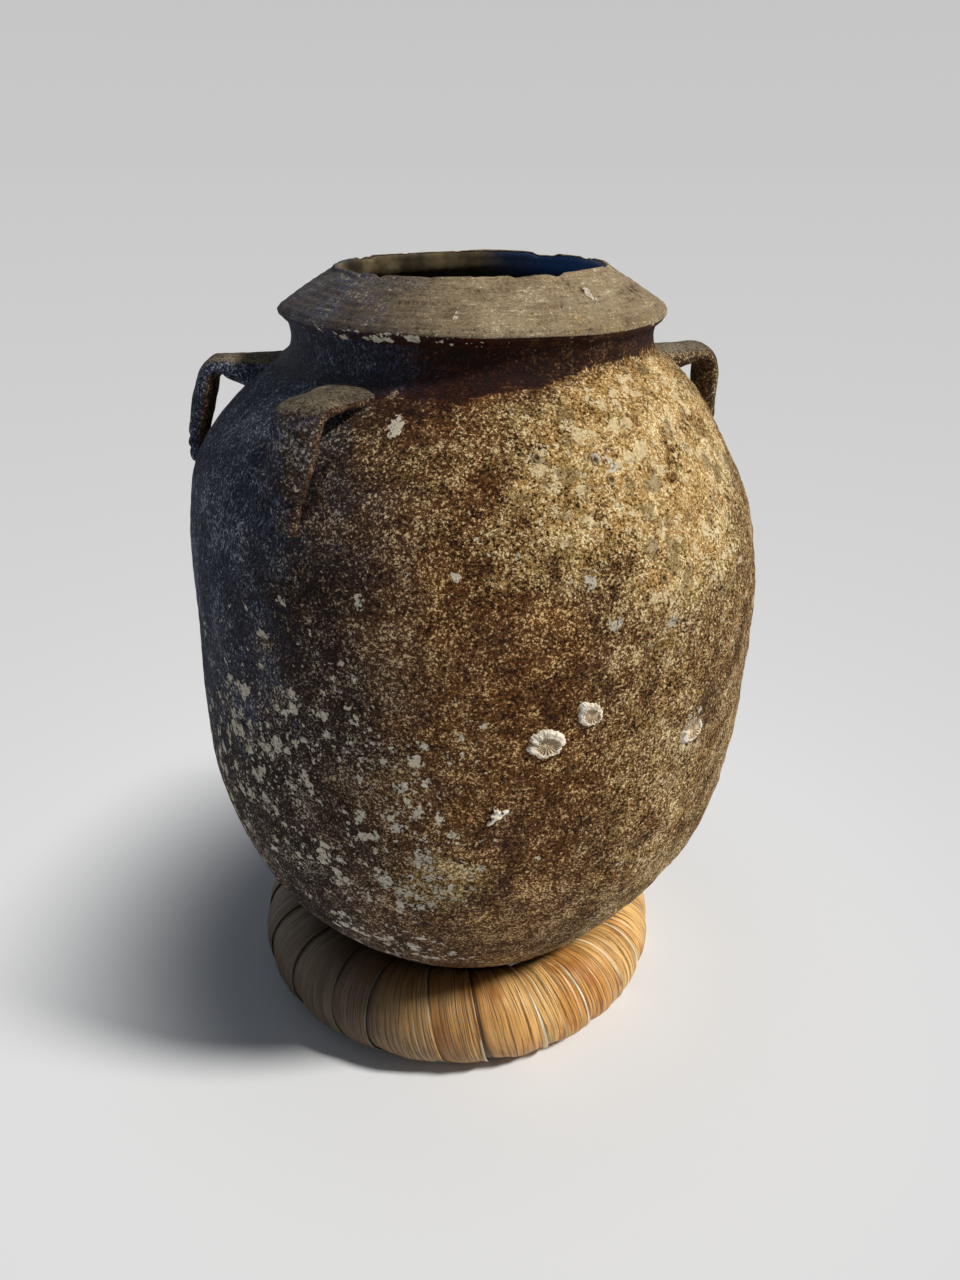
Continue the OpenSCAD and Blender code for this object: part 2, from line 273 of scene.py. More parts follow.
def even_rows(line, spacing):
    """The same line with its points about spacing apart."""
    steps = np.hypot(*np.diff(line, axis=0).T)
    along = np.concatenate([[0], np.cumsum(steps)])
    count = max(1, round(along[-1] / spacing))
    marks = np.linspace(0, along[-1], count + 1)
    return np.stack([np.interp(marks, along, line[:, 0]), np.interp(marks, along, line[:, 1])], 1)


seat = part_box("base_disc")[0].z
base_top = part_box("base_disc")[1].z
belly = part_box("lower_wall")[1].z
shoulder_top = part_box("upper_wall")[1].z
neck_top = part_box("neck")[1].z
lip_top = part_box("rim_collar")[1].z
wall_outside = np.concatenate([outline("lower_wall"), outline("upper_wall")[1:]])
print("seat, belly, shoulder, lip in mm:",
      [round(h / mm, 1) for h in (seat, belly, shoulder_top, lip_top)])


def wall_radius(height):
    return np.interp(height, wall_outside[:, 1], wall_outside[:, 0])


# %% [markdown]
# ## Random numbers that stay the same
# Clay, crust and leaf are uneven. Their unevenness comes from noise that is worked out from the
# place alone, so each run gives the same jar. Two kinds are enough: cloudy noise for lumps and
# patches, and scattered dots for pits and flecks.

# %% Noise on points
def hashed(cells, seed):
    """A repeatable number from 0 to 1 for each whole-number cell."""
    code = cells[..., 0] * 374761393 + cells[..., 1] * 668265263 + cells[..., 2] * 1440662683
    code = (code + seed * 974634777) & 0xFFFFFFFF
    code = ((code ^ (code >> 13)) * 1274126177) & 0xFFFFFFFF
    return ((code ^ (code >> 16)) & 0xFFFF) / 65535


def cloud(points, size, seed):
    """Smooth noise from -1 to 1 whose lumps are about size metres across."""
    spot = points / size + 91.7
    cell = np.floor(spot).astype(np.int64)
    part = spot - cell
    part = part * part * (3 - 2 * part)
    total = 0
    for corner in np.ndindex(2, 2, 2):
        share = np.prod(np.where(corner, part, 1 - part), axis=1)
        total = total + share * hashed(cell + np.array(corner), seed)
    return 2 * total - 1


def rough(points, size, seed, layers=3):
    """Layers of cloudy noise, each half the size and strength of the last."""
    total = sum(cloud(points, size / 2 ** k, seed + k) / 2 ** k for k in range(layers))
    return total / (2 - 0.5 ** (layers - 1))


def dots(points, size, seed, share):
    """0 away from scattered dots, rising to 1 at the middle of each. share of cells have one."""
    spot = points / size
    cell = np.floor(spot).astype(np.int64)
    best = np.zeros(len(points))
    for step in np.ndindex(3, 3, 3):
        near = cell + np.array(step) - 1
        middle = near + np.stack([0.2 + 0.6 * hashed(near, seed + k) for k in range(3)], axis=1)
        reach = 0.25 + 0.45 * hashed(near, seed + 3)
        gap = np.linalg.norm(spot - middle, axis=1)
        there = hashed(near, seed + 4) < share
        best = np.maximum(best, np.where(there, np.clip(1 - gap / reach, 0, 1), 0))
    return best


def ramp(value, low, high):
    share = np.clip((value - low) / (high - low), 0, 1)
    return share * share * (3 - 2 * share)


# %% [markdown]
# ## Where the sea left its marks
# The jar lay on one side for a long time. One shoulder carries an ochre crust, the other side a
# grey film, and the lower wall flecks of lime. Each of these becomes a mask on the corners of
# the mesh: the relief uses it to raise the crust, and the material uses it to colour it. Two
# more masks are painted shade: one darkens the side turned away from the light, and part of the
# dark mask darkens the neck under the flange, where the flange's shadow falls.

# %% Masks for crust, film, lime, dark patches and painted shade
def azimuth_of(points):
    return np.degrees(np.arctan2(points[:, 0], -points[:, 1]))


def turn_away(azimuth, centre):
    """How many degrees an azimuth lies from a centre, from -180 to 180."""
    return (azimuth - centre + 180) % 360 - 180


lime_blobs = [(-18.9, 277.5, 2.2), (-20.4, 244.8, 2.4), (-16, 340, 3.0), (-10, 290, 1.6), (-1.9, 291, 1.8),
              (2.3, 304, 2.6), (-34.4, 272, 2.6), (24.7, 268, 2.6), (30.9, 254.5, 2.2), (30, 324, 3),
              (-24, 300, 2), (12, 160, 1.4), (-33, 225, 3), (-40, 255, 2), (20, 286, 2.6),
              (36, 262, 2.4), (-28, 262, 2), (9, 296, 2.2), (43.5, 213.5, 3.4), (41.8, 385, 2.8), (-4.1, 380, 2.6)]
dark_blobs = [(24.8, 309, 3.6), (24.4, 294, 2.6), (14.8, 292, 2.4), (45.6, 320, 7), (34, 268, 3),
              (40, 338, 4), (-2, 318, 3), (31, 300, 2.4), (6, 276, 2)]


def blobs(points, places, seed):
    """Irregular spots at chosen places, given as azimuth, height and radius in mm."""
    azimuth = azimuth_of(points)
    edge = 1 + 1.2 * rough(points, 4.5 * mm, seed)
    total = np.zeros(len(points))
    for centre, height, reach in places:
        across = np.radians(turn_away(azimuth, centre)) * np.hypot(points[:, 0], points[:, 1])
        gap = np.hypot(across, points[:, 2] - height * mm) / (reach * mm)
        total = np.maximum(total, ramp(1.35 - gap * edge, 0, 0.8))
    return total


def weather(points):
    """The masks of the jar's surface, each from 0 to 1."""
    azimuth = azimuth_of(points)
    height = points[:, 2] / mm
    patchy = rough(points, 26 * mm, 11, 4)
    fine = rough(points, 8 * mm, 12, 3)
    away = np.hypot(turn_away(azimuth, 42) / 44, (height - 330) / 75)
    crust = ramp(1.25 - away + 0.35 * patchy, -0.2, 1.0)
    right_side = ramp(turn_away(azimuth, 4), 0, 30) * ramp(130 - turn_away(azimuth, 4), 0, 40)
    crust = np.maximum(crust, (0.54 + 0.08 * ramp(height, 120, 40)) * right_side)
    behind = np.hypot(turn_away(azimuth, 150) / 60, (height - 260) / 80)
    crust = np.maximum(crust, 0.8 * ramp(1.0 - behind + 0.7 * patchy, -0.2, 0.9))
    band = np.abs(height - 328 + 5 * patchy) / 16 + np.abs(turn_away(azimuth, -2)) / 70
    crust = np.maximum(crust, 0.42 * ramp(1.1 - band, 0, 0.9))
    crust = np.maximum(crust, 0.75 * ramp(1 - np.hypot(turn_away(azimuth, -5) / 16, (height - 146) / 28), 0, 0.8))
    # The crust thins out on the neck under the flange, so that the painted shade there stays dark.
    crust = crust * (1 - 0.6 * ramp(height - 8 * ramp(azimuth, 8, 42), 343, 352))

    side = turn_away(azimuth, -82)
    back_edge = np.where(side < 0, 34, 14) * patchy + np.where(side < 0, 14, 6) * fine
    film = ramp(42 - np.abs(side) + back_edge + 0.14 * (height - 240), -30, 34)
    film = film * (0.35 + 0.65 * ramp(height, 110, 250))
    # Painted shade in the film's blue-grey: the band on the neck under the flange, on the left.
    film = np.maximum(film, 0.8 * ramp(height, 342, 356) * ramp(14 - azimuth, 0, 50)
                      * ramp(azimuth + 12 * patchy, -172, -105))

    low = ramp(54 - np.abs(turn_away(azimuth, -36)), 0, 30) * ramp(height, 35, 80) * ramp(300 - height, 0, 110)
    lime = 0.08 + 0.52 * low * ramp(1 + 1.5 * patchy + 0.9 * fine, 0.2, 1.2) + 0.05 * crust
    lime = np.maximum(lime, 0.5 * ramp(1 - np.hypot(turn_away(azimuth, -5) / 14, (height - 150) / 22), 0, 0.8))
    lime = np.maximum(lime, blobs(points, lime_blobs, 41))
    under_edge = 0.30 + 0.40 * ramp(20 - np.abs(azimuth + 22), -20, 10)
    lime = np.maximum(lime, under_edge * ramp(1 - np.abs(height - neck_top / mm - 2.5) / 4, 0, 0.7))
    lime = np.maximum(lime, 0.34 * ramp(height, 389, 392))

    dark = 0.5 * ramp(rough(points, 34 * mm, 51, 3), 0.10, 0.45)
    # Painted shade: the neck under the flange is darkened where the flange's shadow falls, with an edge that follows
    # the light.
    low_edge = height - 9 * ramp(azimuth, 8, 42) + 5 * fine
    under_rim_shade = ramp(low_edge, 346, 354) * ramp(neck_top / mm + 4.6 - height, 0, 1.5)
    dark = np.maximum(dark, under_rim_shade)
    dark = np.maximum(dark, 0.52 * blobs(points, dark_blobs, 53))
    # Painted shade: the side turned away from the light, on the left and at the back, gets darker, greyer tones.
    grime = ramp(14 - azimuth + 10 * patchy, 0, 56) * (0.45 + 0.55 * ramp(azimuth, -175, -110))
    grime = np.maximum(grime, 0.45 * ramp(azimuth, 95, 160))
    return {"crust": crust * (1 - 0.9 * film), "film": film, "lime": lime, "dark": dark, "grime": grime}


def relief(points, marks, scale=1.0):
    """How far the worn surface stands out from the turned one, in metres."""
    lumps = 0.75 * cloud(points, 46 * mm, 61) + 0.35 * cloud(points, 19 * mm, 62)
    grain = 0.13 * rough(points, 6 * mm, 63, 2)
    thrown = 0.06 * np.sin(full_turn * points[:, 2] / (8.5 * mm) + 2 * cloud(points, 60 * mm, 64))
    crust = marks["crust"] * (0.25 + 1.1 * ramp(rough(points, 8 * mm, 65, 3), -0.15, 0.5))
    lime = 0.35 * marks["lime"] - 0.3 * marks["dark"]
    pits = -0.5 * ramp(dots(points, 9 * mm, 66, 0.22), 0.45, 0.8)
    return scale * mm * (lumps + grain + thrown + crust + lime + pits)


# %% [markdown]
# ## Turning the body
# A potter pulls the wall up while the wheel turns, and a mesh can be made the same way. One
# corner is extruded along the outline, from the middle of the foot up the outside, over the lip
# and down the inside to the middle of the floor. Spinning that line once round gives a closed
# shell. The real jar was made in sections that were joined while the clay was leather-hard, so
# the shell is cut into the same sections later.

# %% Draw the outline of the whole wall
outer_spacing = 7.4 * mm
inner_spacing = 15 * mm
foot_radius = radius_of(points_of("base_disc"))[points_of("base_disc")[:, 2] < seat + 0.01 * mm].max()


def half_turn(node, outside):
    """Radius and height of each corner of the rim, once each. outside is not used."""
    points = points_of(node)
    radii = radius_of(points)
    pairs = np.unique(np.round(np.stack([radii, points[:, 2]], 1) / (0.02 * mm)), axis=0) * 0.02 * mm
    return pairs


rim_points = half_turn("rim_collar", True)
flange_edge = rim_points[:, 0].max()
mouth_edge = rim_points[:, 0].min()
bore_low = rim_points[rim_points[:, 0] < mouth_edge + 0.05 * mm][:, 1].min()
neck_inside = radius_of(points_of("neck")).min()
flange_low = neck_top
under_flange = radius_of(points_of("neck"))[points_of("neck")[:, 2] > neck_top - 0.01 * mm].max()
lip_round = 1.7 * mm

foot = [(0, seat), (0.3 * foot_radius, seat), (0.6 * foot_radius, seat), (0.85 * foot_radius, seat),
        (0.97 * foot_radius, seat + 0.2 * mm)]
base_outside = even_rows(outline("base_disc"), 5 * mm)[:]
base_outside = base_outside[base_outside[:, 1] > seat + 0.8 * mm]
lower_outside = even_rows(outline("lower_wall"), outer_spacing)
upper_outside = even_rows(outline("upper_wall"), outer_spacing)
neck_outside = even_rows(outline("neck"), 3.6 * mm)
flare = np.clip((neck_outside[:, 1] - neck_top) / (9 * mm) + 1, 0, 1)
neck_outside[:, 0] -= 1.5 * mm * flare ** 2
lip_edge = (mouth_edge + 2 * lip_round, lip_top - lip_round)
flange_top = (flange_edge - 2.2 * mm, neck_top + 7.6 * mm)
slope = even_rows(np.array([flange_top, lip_edge]), 3.7 * mm)[1:-1]
rim_line = [(flange_edge - 2.5 * mm, neck_top + 1.2 * mm), (flange_edge - 0.9 * mm, neck_top + 2.4 * mm),
            (flange_edge, neck_top + 4.4 * mm), (flange_edge - 0.6 * mm, neck_top + 6.0 * mm),
            flange_top, *slope, lip_edge,
            (mouth_edge + 1.35 * lip_round, lip_top - 0.25 * mm), (mouth_edge + 0.55 * lip_round, lip_top - 0.35 * mm),
            (mouth_edge, lip_top - 1.6 * lip_round), (mouth_edge, (lip_top + bore_low) / 2), (mouth_edge, bore_low)]
rim_inside = even_rows(np.array([(mouth_edge, bore_low), (neck_inside, neck_top)]), 5 * mm)[1:]
neck_inner = even_rows(np.array([(neck_inside, neck_top), (neck_inside, shoulder_top)]), 7 * mm)[1:]
upper_inside = even_rows(outline("upper_wall", False)[::-1], inner_spacing)[1:]
lower_inside = even_rows(outline("lower_wall", False)[::-1], inner_spacing)[1:]
floor_radius = lower_inside[-1][0]
floor_inside = [(floor_radius * share, base_top) for share in (0.75, 0.5, 0.25, 0)]

profile = [*foot, *base_outside[:-1], *lower_outside, *upper_outside[1:], *neck_outside[1:],
           *rim_line, *rim_inside, *neck_inner, *upper_inside, *lower_inside, *floor_inside]
print("the outline has", len(profile), "points")

# %% Spin the outline into a shell
around = 128

alone()
bpy.ops.mesh.primitive_plane_add(size=10 * mm, location=(0, 0, 0))
shell = bpy.context.object
shell.name = "shell"
bpy.ops.object.mode_set(mode="EDIT")
bpy.ops.mesh.select_mode(type="VERT")
bpy.ops.mesh.merge(type="CENTER")
here = Vector((0, 0, 0))
bpy.ops.transform.translate(value=Vector((profile[0][0], 0, profile[0][1])) - here)
here = Vector((profile[0][0], 0, profile[0][1]))
for r, z in profile[1:]:
    there = Vector((r, 0, z))
    bpy.ops.mesh.extrude_region_move(TRANSFORM_OT_translate={"value": there - here})
    here = there
bpy.ops.mesh.select_all(action="SELECT")
bpy.ops.mesh.spin(steps=around, angle=full_turn, center=(0, 0, 0), axis=(0, 0, 1))
bpy.ops.mesh.select_all(action="SELECT")
bpy.ops.mesh.remove_doubles(threshold=0.005 * mm)
bpy.ops.mesh.normals_make_consistent(inside=False)
bpy.ops.object.mode_set(mode="OBJECT")
print("shell:", len(shell.data.vertices), "corners,", len(shell.data.polygons), "faces")

# %% [markdown]
# ## Cutting the shell into its sections
# Each face gets the number of the section that it belongs to, as a material slot. The slots
# survive subdivision, so the joints stay where the potter had them. The wear is modelled on
# the whole shell first, and only then is it taken apart: that way no seam shows.

# %% Number the sections and refine the mesh
sections = ["base_disc", "lower_wall", "upper_wall", "neck", "rim_collar"]
joints = [base_top, belly, shoulder_top, neck_top]
for name in sections:
    shell.data.materials.append(bpy.data.materials.new("section_" + name))
for face in shell.data.polygons:
    face.material_index = sum(face.center.z > joint + 0.01 * mm for joint in joints)

smoother = shell.modifiers.new("smoother", "SUBSURF")
smoother.levels = smoother.render_levels = 2
bpy.ops.object.modifier_apply(modifier="smoother")
print("refined shell:", len(shell.data.polygons), "faces")

# %% Wear the shell
def get_points(mesh):
    flat = np.zeros(len(mesh.vertices) * 3, np.float32)
    mesh.vertices.foreach_get("co", flat)
    return flat.reshape(-1, 3).astype(float)


def set_points(mesh, points):
    mesh.vertices.foreach_set("co", points.astype(np.float32).ravel())
    mesh.update()


def normals_of(mesh):
    flat = np.zeros(len(mesh.vertices) * 3, np.float32)
    mesh.vertex_normals.foreach_get("vector", flat)
    return flat.reshape(-1, 3).astype(float)


def keep_marks(mesh, marks):
    """Writes masks on the corners of a mesh, for its material to read."""
    for name, values in marks.items():
        layer = mesh.attributes.get(name) or mesh.attributes.new(name, "FLOAT", "POINT")
        layer.data.foreach_set("value", np.asarray(values, np.float32))


# The jar leans and sags a little: each pair is a height and a shift to the right, both in mm
sags = [(75, -4.0, 38), (236, 1.8, 30), (313, -3.8, 24)]


def settle(points):
    """Moves points sideways where the jar sagged in the kiln."""
    moved = points.copy()
    for height, shift, spread in sags:
        moved[:, 0] += shift * mm * np.exp(-((points[:, 2] / mm - height) / spread) ** 2)
    return moved


points = get_points(shell.data)
normals = normals_of(shell.data)
radii = radius_of(points)
inward = (points[:, :2] * normals[:, :2]).sum(1) / np.maximum(radii, 1 * mm)
inner_wall = np.interp(points[:, 2], wall_outside[:, 1], wall_outside[:, 0] - 4.5 * mm)
inside = (radii < inner_wall) & (points[:, 2] > base_top - 0.5 * mm) & (points[:, 2] < shoulder_top)
inside |= (points[:, 2] >= shoulder_top) & (points[:, 2] < bore_low) & (inward < 0)
inside |= (points[:, 2] >= bore_low) & (radii < mouth_edge + 0.8 * mm)
marks = weather(points)
worn = relief(points, marks)
rim_share = ramp(points[:, 2], neck_top - 2 * mm, neck_top + 3 * mm)
scrapes = 0.10 * mm * np.sin(full_turn * points[:, 2] / (2.3 * mm) + 3 * cloud(points, 40 * mm, 71))
worn = worn * (1 - 0.45 * rim_share) + rim_share * scrapes
inner_rings = 0.3 * mm * np.sin(full_turn * points[:, 2] / (14 * mm)) + 0.5 * mm * cloud(points, 40 * mm, 72)
worn = np.where(inside, inner_rings * ramp(points[:, 2], base_top, base_top + 20 * mm), worn)
foot_share = ramp(points[:, 2], seat, seat + 22 * mm)
worn = worn * (0.25 + 0.75 * foot_share)
points = points + normals * worn[:, None]

# The lip is nibbled and the edge of the flange wavers
lip_share = ramp(points[:, 2], lip_top - 5 * mm, lip_top - 0.5 * mm)
nibble = ramp(rough(points * (1, 1, 0), 11 * mm, 73, 3), 0.05, 0.5)
points[:, 2] -= lip_share * (1.3 * mm * nibble + 0.5 * mm * cloud(points * (1, 1, 0), 45 * mm, 74))
edge_share = ramp(radius_of(points), flange_edge - 12 * mm, flange_edge) * rim_share
waver = 0.9 * mm * cloud(points * (1, 1, 0), 30 * mm, 75) + 0.5 * mm * cloud(points, 9 * mm, 76)
points[:, :2] *= (1 + edge_share * waver / np.maximum(radius_of(points), 1 * mm))[:, None]
points[:, 2] += edge_share * 1.2 * mm * cloud(points * (1, 1, 0), 50 * mm, 77)
points = settle(points)
set_points(shell.data, points)
marks["inside"] = inside
keep_marks(shell.data, marks)
layer = shell.data.attributes.new("whole_normal", "FLOAT_VECTOR", "POINT")
layer.data.foreach_set("vector", normals_of(shell.data).astype(np.float32).ravel())
print("deepest wear", round(worn.min() / mm, 2), "mm, highest crust", round(worn.max() / mm, 2), "mm")

# %% Take the shell apart and close each section at its joints
alone()
bpy.context.view_layer.objects.active = shell
shell.select_set(True)
bpy.ops.object.mode_set(mode="EDIT")
bpy.ops.mesh.separate(type="MATERIAL")
bpy.ops.object.mode_set(mode="OBJECT")
parts = {}
for piece in list(bpy.context.selected_objects):
    used = piece.data.polygons[0].material_index
    parts[sections[used] if len(piece.data.materials) > 1 else piece.data.materials[0].name[8:]] = piece


def close_joint(piece, height):
    """Bridges the outer and the inner edge that a joint left open."""
    mesh = piece.data
    uses = np.zeros(len(mesh.edges), int)
    edge_numbers = np.zeros(len(mesh.loops), np.int32)
    mesh.loops.foreach_get("edge_index", edge_numbers)
    np.add.at(uses, edge_numbers, 1)
    alone()
    bpy.context.view_layer.objects.active = piece
    piece.select_set(True)
    bpy.ops.object.mode_set(mode="EDIT")
    bpy.ops.mesh.select_mode(type="EDGE")
    bpy.ops.mesh.select_all(action="DESELECT")
    bpy.ops.object.mode_set(mode="OBJECT")
    for number in np.flatnonzero(uses == 1):
        edge = mesh.edges[number]
        if abs(mesh.vertices[edge.vertices[0]].co.z - height) < 6 * mm:
            edge.select = True
    bpy.ops.object.mode_set(mode="EDIT")
    bpy.ops.mesh.bridge_edge_loops()
    bpy.ops.object.mode_set(mode="OBJECT")


for number, name in enumerate(sections):
    piece = parts[name]
    piece.name = piece.data.name = "worn_" + name
    worn_faces = len(piece.data.polygons)
    for joint in joints[max(0, number - 1):number + 1]:
        close_joint(piece, joint)
    alone()
    bpy.context.view_layer.objects.active = piece
    piece.select_set(True)
    bpy.ops.object.shade_smooth()
    mesh = piece.data
    flat = np.zeros(len(mesh.vertices) * 3, np.float32)
    mesh.attributes["whole_normal"].data.foreach_get("vector", flat)
    corners = np.zeros(len(mesh.loops), np.int32)
    mesh.loops.foreach_get("vertex_index", corners)
    loop_normals = flat.reshape(-1, 3)[corners]
    for face in mesh.polygons[worn_faces:]:
        loop_normals[face.loop_start:face.loop_start + face.loop_total] = face.normal
    mesh.normals_split_custom_set(loop_normals)
    mesh.attributes.remove(mesh.attributes["whole_normal"])
    print(piece.name, len(mesh.polygons), "faces")

# %% [markdown]
# ## Patterns for fired clay
# Three patterns come back in many of the jar's finishes, so each is a shader group that is
# built once. Grain is a field of tiny light and dark specks, mottle is a soft change from
# patch to patch, and strokes are the fine feathery lines of the film.

# %% Build the pattern groups
def per(tree, size, share=1.0):
    """The scale of a texture whose cells are a share of a size input."""
    return math_node(tree, "DIVIDE", 1 / share, size)


def shaken(tree, where, size, share, strength):
    """The place moved about by noise, so that round cells get ragged edges."""
    wobble = add(tree, "ShaderNodeTexNoise", {"Vector": where, "Scale": per(tree, size, share), "Detail": 2.0}, "Color")
    centred = add(tree, "ShaderNodeVectorMath", {0: wobble, 1: (0.5, 0.5, 0.5)}, operation="SUBTRACT")
    reach = math_node(tree, "MULTIPLY", size, strength)
    moved = add(tree, "ShaderNodeVectorMath", {0: centred, "Scale": reach}, operation="SCALE")
    return add(tree, "ShaderNodeVectorMath", {0: where, 1: moved}, operation="ADD")


def cells(tree, where, scale):
    """Distance to the middle of the nearest cell, and two random numbers of that cell."""
    distance = add(tree, "ShaderNodeTexVoronoi", {"Vector": where, "Scale": scale}, "Distance")
    random = add(tree, "ShaderNodeSeparateColor", {0: distance.node.outputs["Color"]})
    return distance, random, random.node.outputs[1]


grain_group, given, result = group_with("grain", {"Size": 0.9 * mm}, ("Value", "Height"))
at = shaken(grain_group, given["Vector"], given["Size"], 0.8, 1.2)
distance, tone, other = cells(grain_group, at, per(grain_group, given["Size"]))
clump = add(grain_group, "ShaderNodeTexNoise", {"Vector": given["Vector"], "Scale": per(grain_group, given["Size"], 2.4),
            "Detail": 4.0, "Roughness": 0.75}, "Fac")
total = math_node(grain_group, "ADD", math_node(grain_group, "MULTIPLY", tone, 0.5),
                  math_node(grain_group, "MULTIPLY", rise(grain_group, clump, 0.3, 0.7), 0.5))
grain_group.links.new(total, result["Value"])
lump = math_node(grain_group, "MULTIPLY", math_node(grain_group, "SUBTRACT", 1.0, distance), total)
grain_group.links.new(lump, result["Height"])

flake_group, given, result = group_with("flakes", {"Size": 3 * mm, "Density": 0.3}, ("Mask", "Tone"))
at = shaken(flake_group, given["Vector"], given["Size"], 0.5, 1.0)
distance, chance, tone = cells(flake_group, at, per(flake_group, given["Size"]))
reach = math_node(flake_group, "MULTIPLY", math_node(flake_group, "SUBTRACT", given["Density"], chance), 1.5)
flake_group.links.new(rise(flake_group, math_node(flake_group, "SUBTRACT", reach, distance), 0.0, 0.08), result["Mask"])
flake_group.links.new(tone, result["Tone"])

mottle_group, given, result = group_with("mottle", {"Size": 20 * mm, "Strength": 0.3}, ("Shift",))
patches = add(mottle_group, "ShaderNodeTexNoise", {"Vector": given["Vector"], "Scale": per(mottle_group, given["Size"]),
              "Detail": 6.0, "Roughness": 0.68, "Distortion": 0.4}, "Fac")
shift = math_node(mottle_group, "MULTIPLY", math_node(mottle_group, "SUBTRACT", patches, 0.5), given["Strength"])
mottle_group.links.new(shift, result["Shift"])

stroke_group, given, result = group_with("strokes", {"Size": 1.2 * mm}, ("Value",))
bent = shaken(stroke_group, given["Vector"], given["Size"], 14, 14)
tilted = add(stroke_group, "ShaderNodeMapping", {"Vector": bent, "Rotation": (0.5, 0.3, 0.4), "Scale": (1, 1, 0.3)})
lines = add(stroke_group, "ShaderNodeTexNoise", {"Vector": tilted, "Scale": per(stroke_group, given["Size"]),
            "Detail": 3.0, "Roughness": 0.6}, "Fac")
stroke_group.links.new(lines, result["Value"])

scar_group, given, result = group_with("scar", {"Place": (0.0, 0.0, 0.0), "Out": (0.0, 0.0, 0.0), "Radius": 1.6 * mm},
                                       ("Ring", "Middle"))
off = add(scar_group, "ShaderNodeVectorMath", {0: given["Vector"], 1: given["Place"]}, operation="SUBTRACT")
deep = add(scar_group, "ShaderNodeVectorMath", {0: off, 1: given["Out"]}, "Value", operation="DOT_PRODUCT")
along_out = add(scar_group, "ShaderNodeVectorMath", {0: given["Out"], "Scale": deep}, operation="SCALE")
flat_off = add(scar_group, "ShaderNodeVectorMath", {0: off, 1: along_out}, operation="SUBTRACT")
away = add(scar_group, "ShaderNodeVectorMath", {0: flat_off}, "Value", operation="LENGTH")
share = math_node(scar_group, "DIVIDE", away, given["Radius"])
near = rise(scar_group, math_node(scar_group, "ABSOLUTE", deep), 6 * mm, 4 * mm)
ring = rise(scar_group, math_node(scar_group, "ABSOLUTE", math_node(scar_group, "SUBTRACT", share, 1.0)), 0.5, 0.2)
scar_group.links.new(math_node(scar_group, "MULTIPLY", ring, near), result["Ring"])
scar_group.links.new(math_node(scar_group, "MULTIPLY", rise(scar_group, share, 0.8, 0.4), near), result["Middle"])
print("groups:", [g.name for g in bpy.data.node_groups])

# %% [markdown]
# ## The worn stoneware
# The fired clay is a deep red-brown. Nearly all of it is hidden by grains of sand and shell
# that stuck to it, which is why the jar looks speckled from close by and brown from afar. One
# fine grain runs over everything and picks a dark, a middle or a light tone. Each zone of the
# surface has its own three tones: bare clay, ochre crust and grey film. Lime lies over them.
# Two more sets of tones are painted shade: darker, greyer ones on the side turned away from the
# light, and very dark ones on the neck under the flange, which also serve the dark patches.

# %% Mix the worn stoneware
bare_tones = (paint(28, 11, 4), paint(108, 69, 32), paint(246, 210, 148))
violet_tones = (paint(34, 18, 16), paint(84, 56, 42), paint(200, 174, 142))
# Painted shade: darker, greyer tones for the side turned away from the light.
painted_shade_tones = (paint(18, 11, 11), paint(56, 43, 38), paint(186, 172, 154))
crust_tones = (paint(78, 48, 16), paint(188, 149, 89), paint(255, 240, 196))
olive_tones = (paint(66, 52, 22), paint(150, 129, 76), paint(236, 218, 164))
film_tones = (paint(21, 23, 31), paint(58, 69, 92), paint(178, 183, 192))
# Very dark tones for the dark patches, and as painted shade on the neck under the flange.
dark_and_shade_tones = (paint(22, 6, 3), paint(56, 22, 10), paint(146, 102, 60))
collar_tones = (paint(70, 58, 46), paint(156, 140, 114), paint(236, 224, 196))
dusty_tones = (paint(60, 54, 46), paint(112, 102, 86), paint(158, 148, 128))
scars = [(27.7, 320.4, 1.5), (25.3, 327.8, 1.3), (19.5, 313.3, 1.2), (12.8, 330.9, 1.3), (17.5, 205, 1.8),
         (-27, 236, 1.4), (35, 281, 1.5), (60, 300, 1.4), (-120, 280, 1.7), (150, 250, 1.6)]


def mark(tree, name):
    return add(tree, "ShaderNodeAttribute", out="Fac", attribute_name=name)


def zones(tree, below, above, mask):
    """Mixes two sets of three tones."""
    return tuple(mix(tree, mask, low, high) for low, high in zip(below, above))


def by_grain(tree, value, tones):
    """Picks the dark, middle or light tone of a zone by the grain."""
    dark, middle, light = tones
    lower = mix(tree, rise(tree, value, 0.20, 0.53), dark, middle)
    return mix(tree, rise(tree, value, 0.60, 0.92), lower, light)


def plus(tree, *values):
    total = values[0]
    for value in values[1:]:
        total = math_node(tree, "ADD", total, value)
    return total


def times(tree, first, second):
    return math_node(tree, "MULTIPLY", first, second)


def centred(tree, texture, strength):
    """A texture from 0 to 1, made to swing about 0."""
    return times(tree, math_node(tree, "SUBTRACT", texture, 0.5), strength)


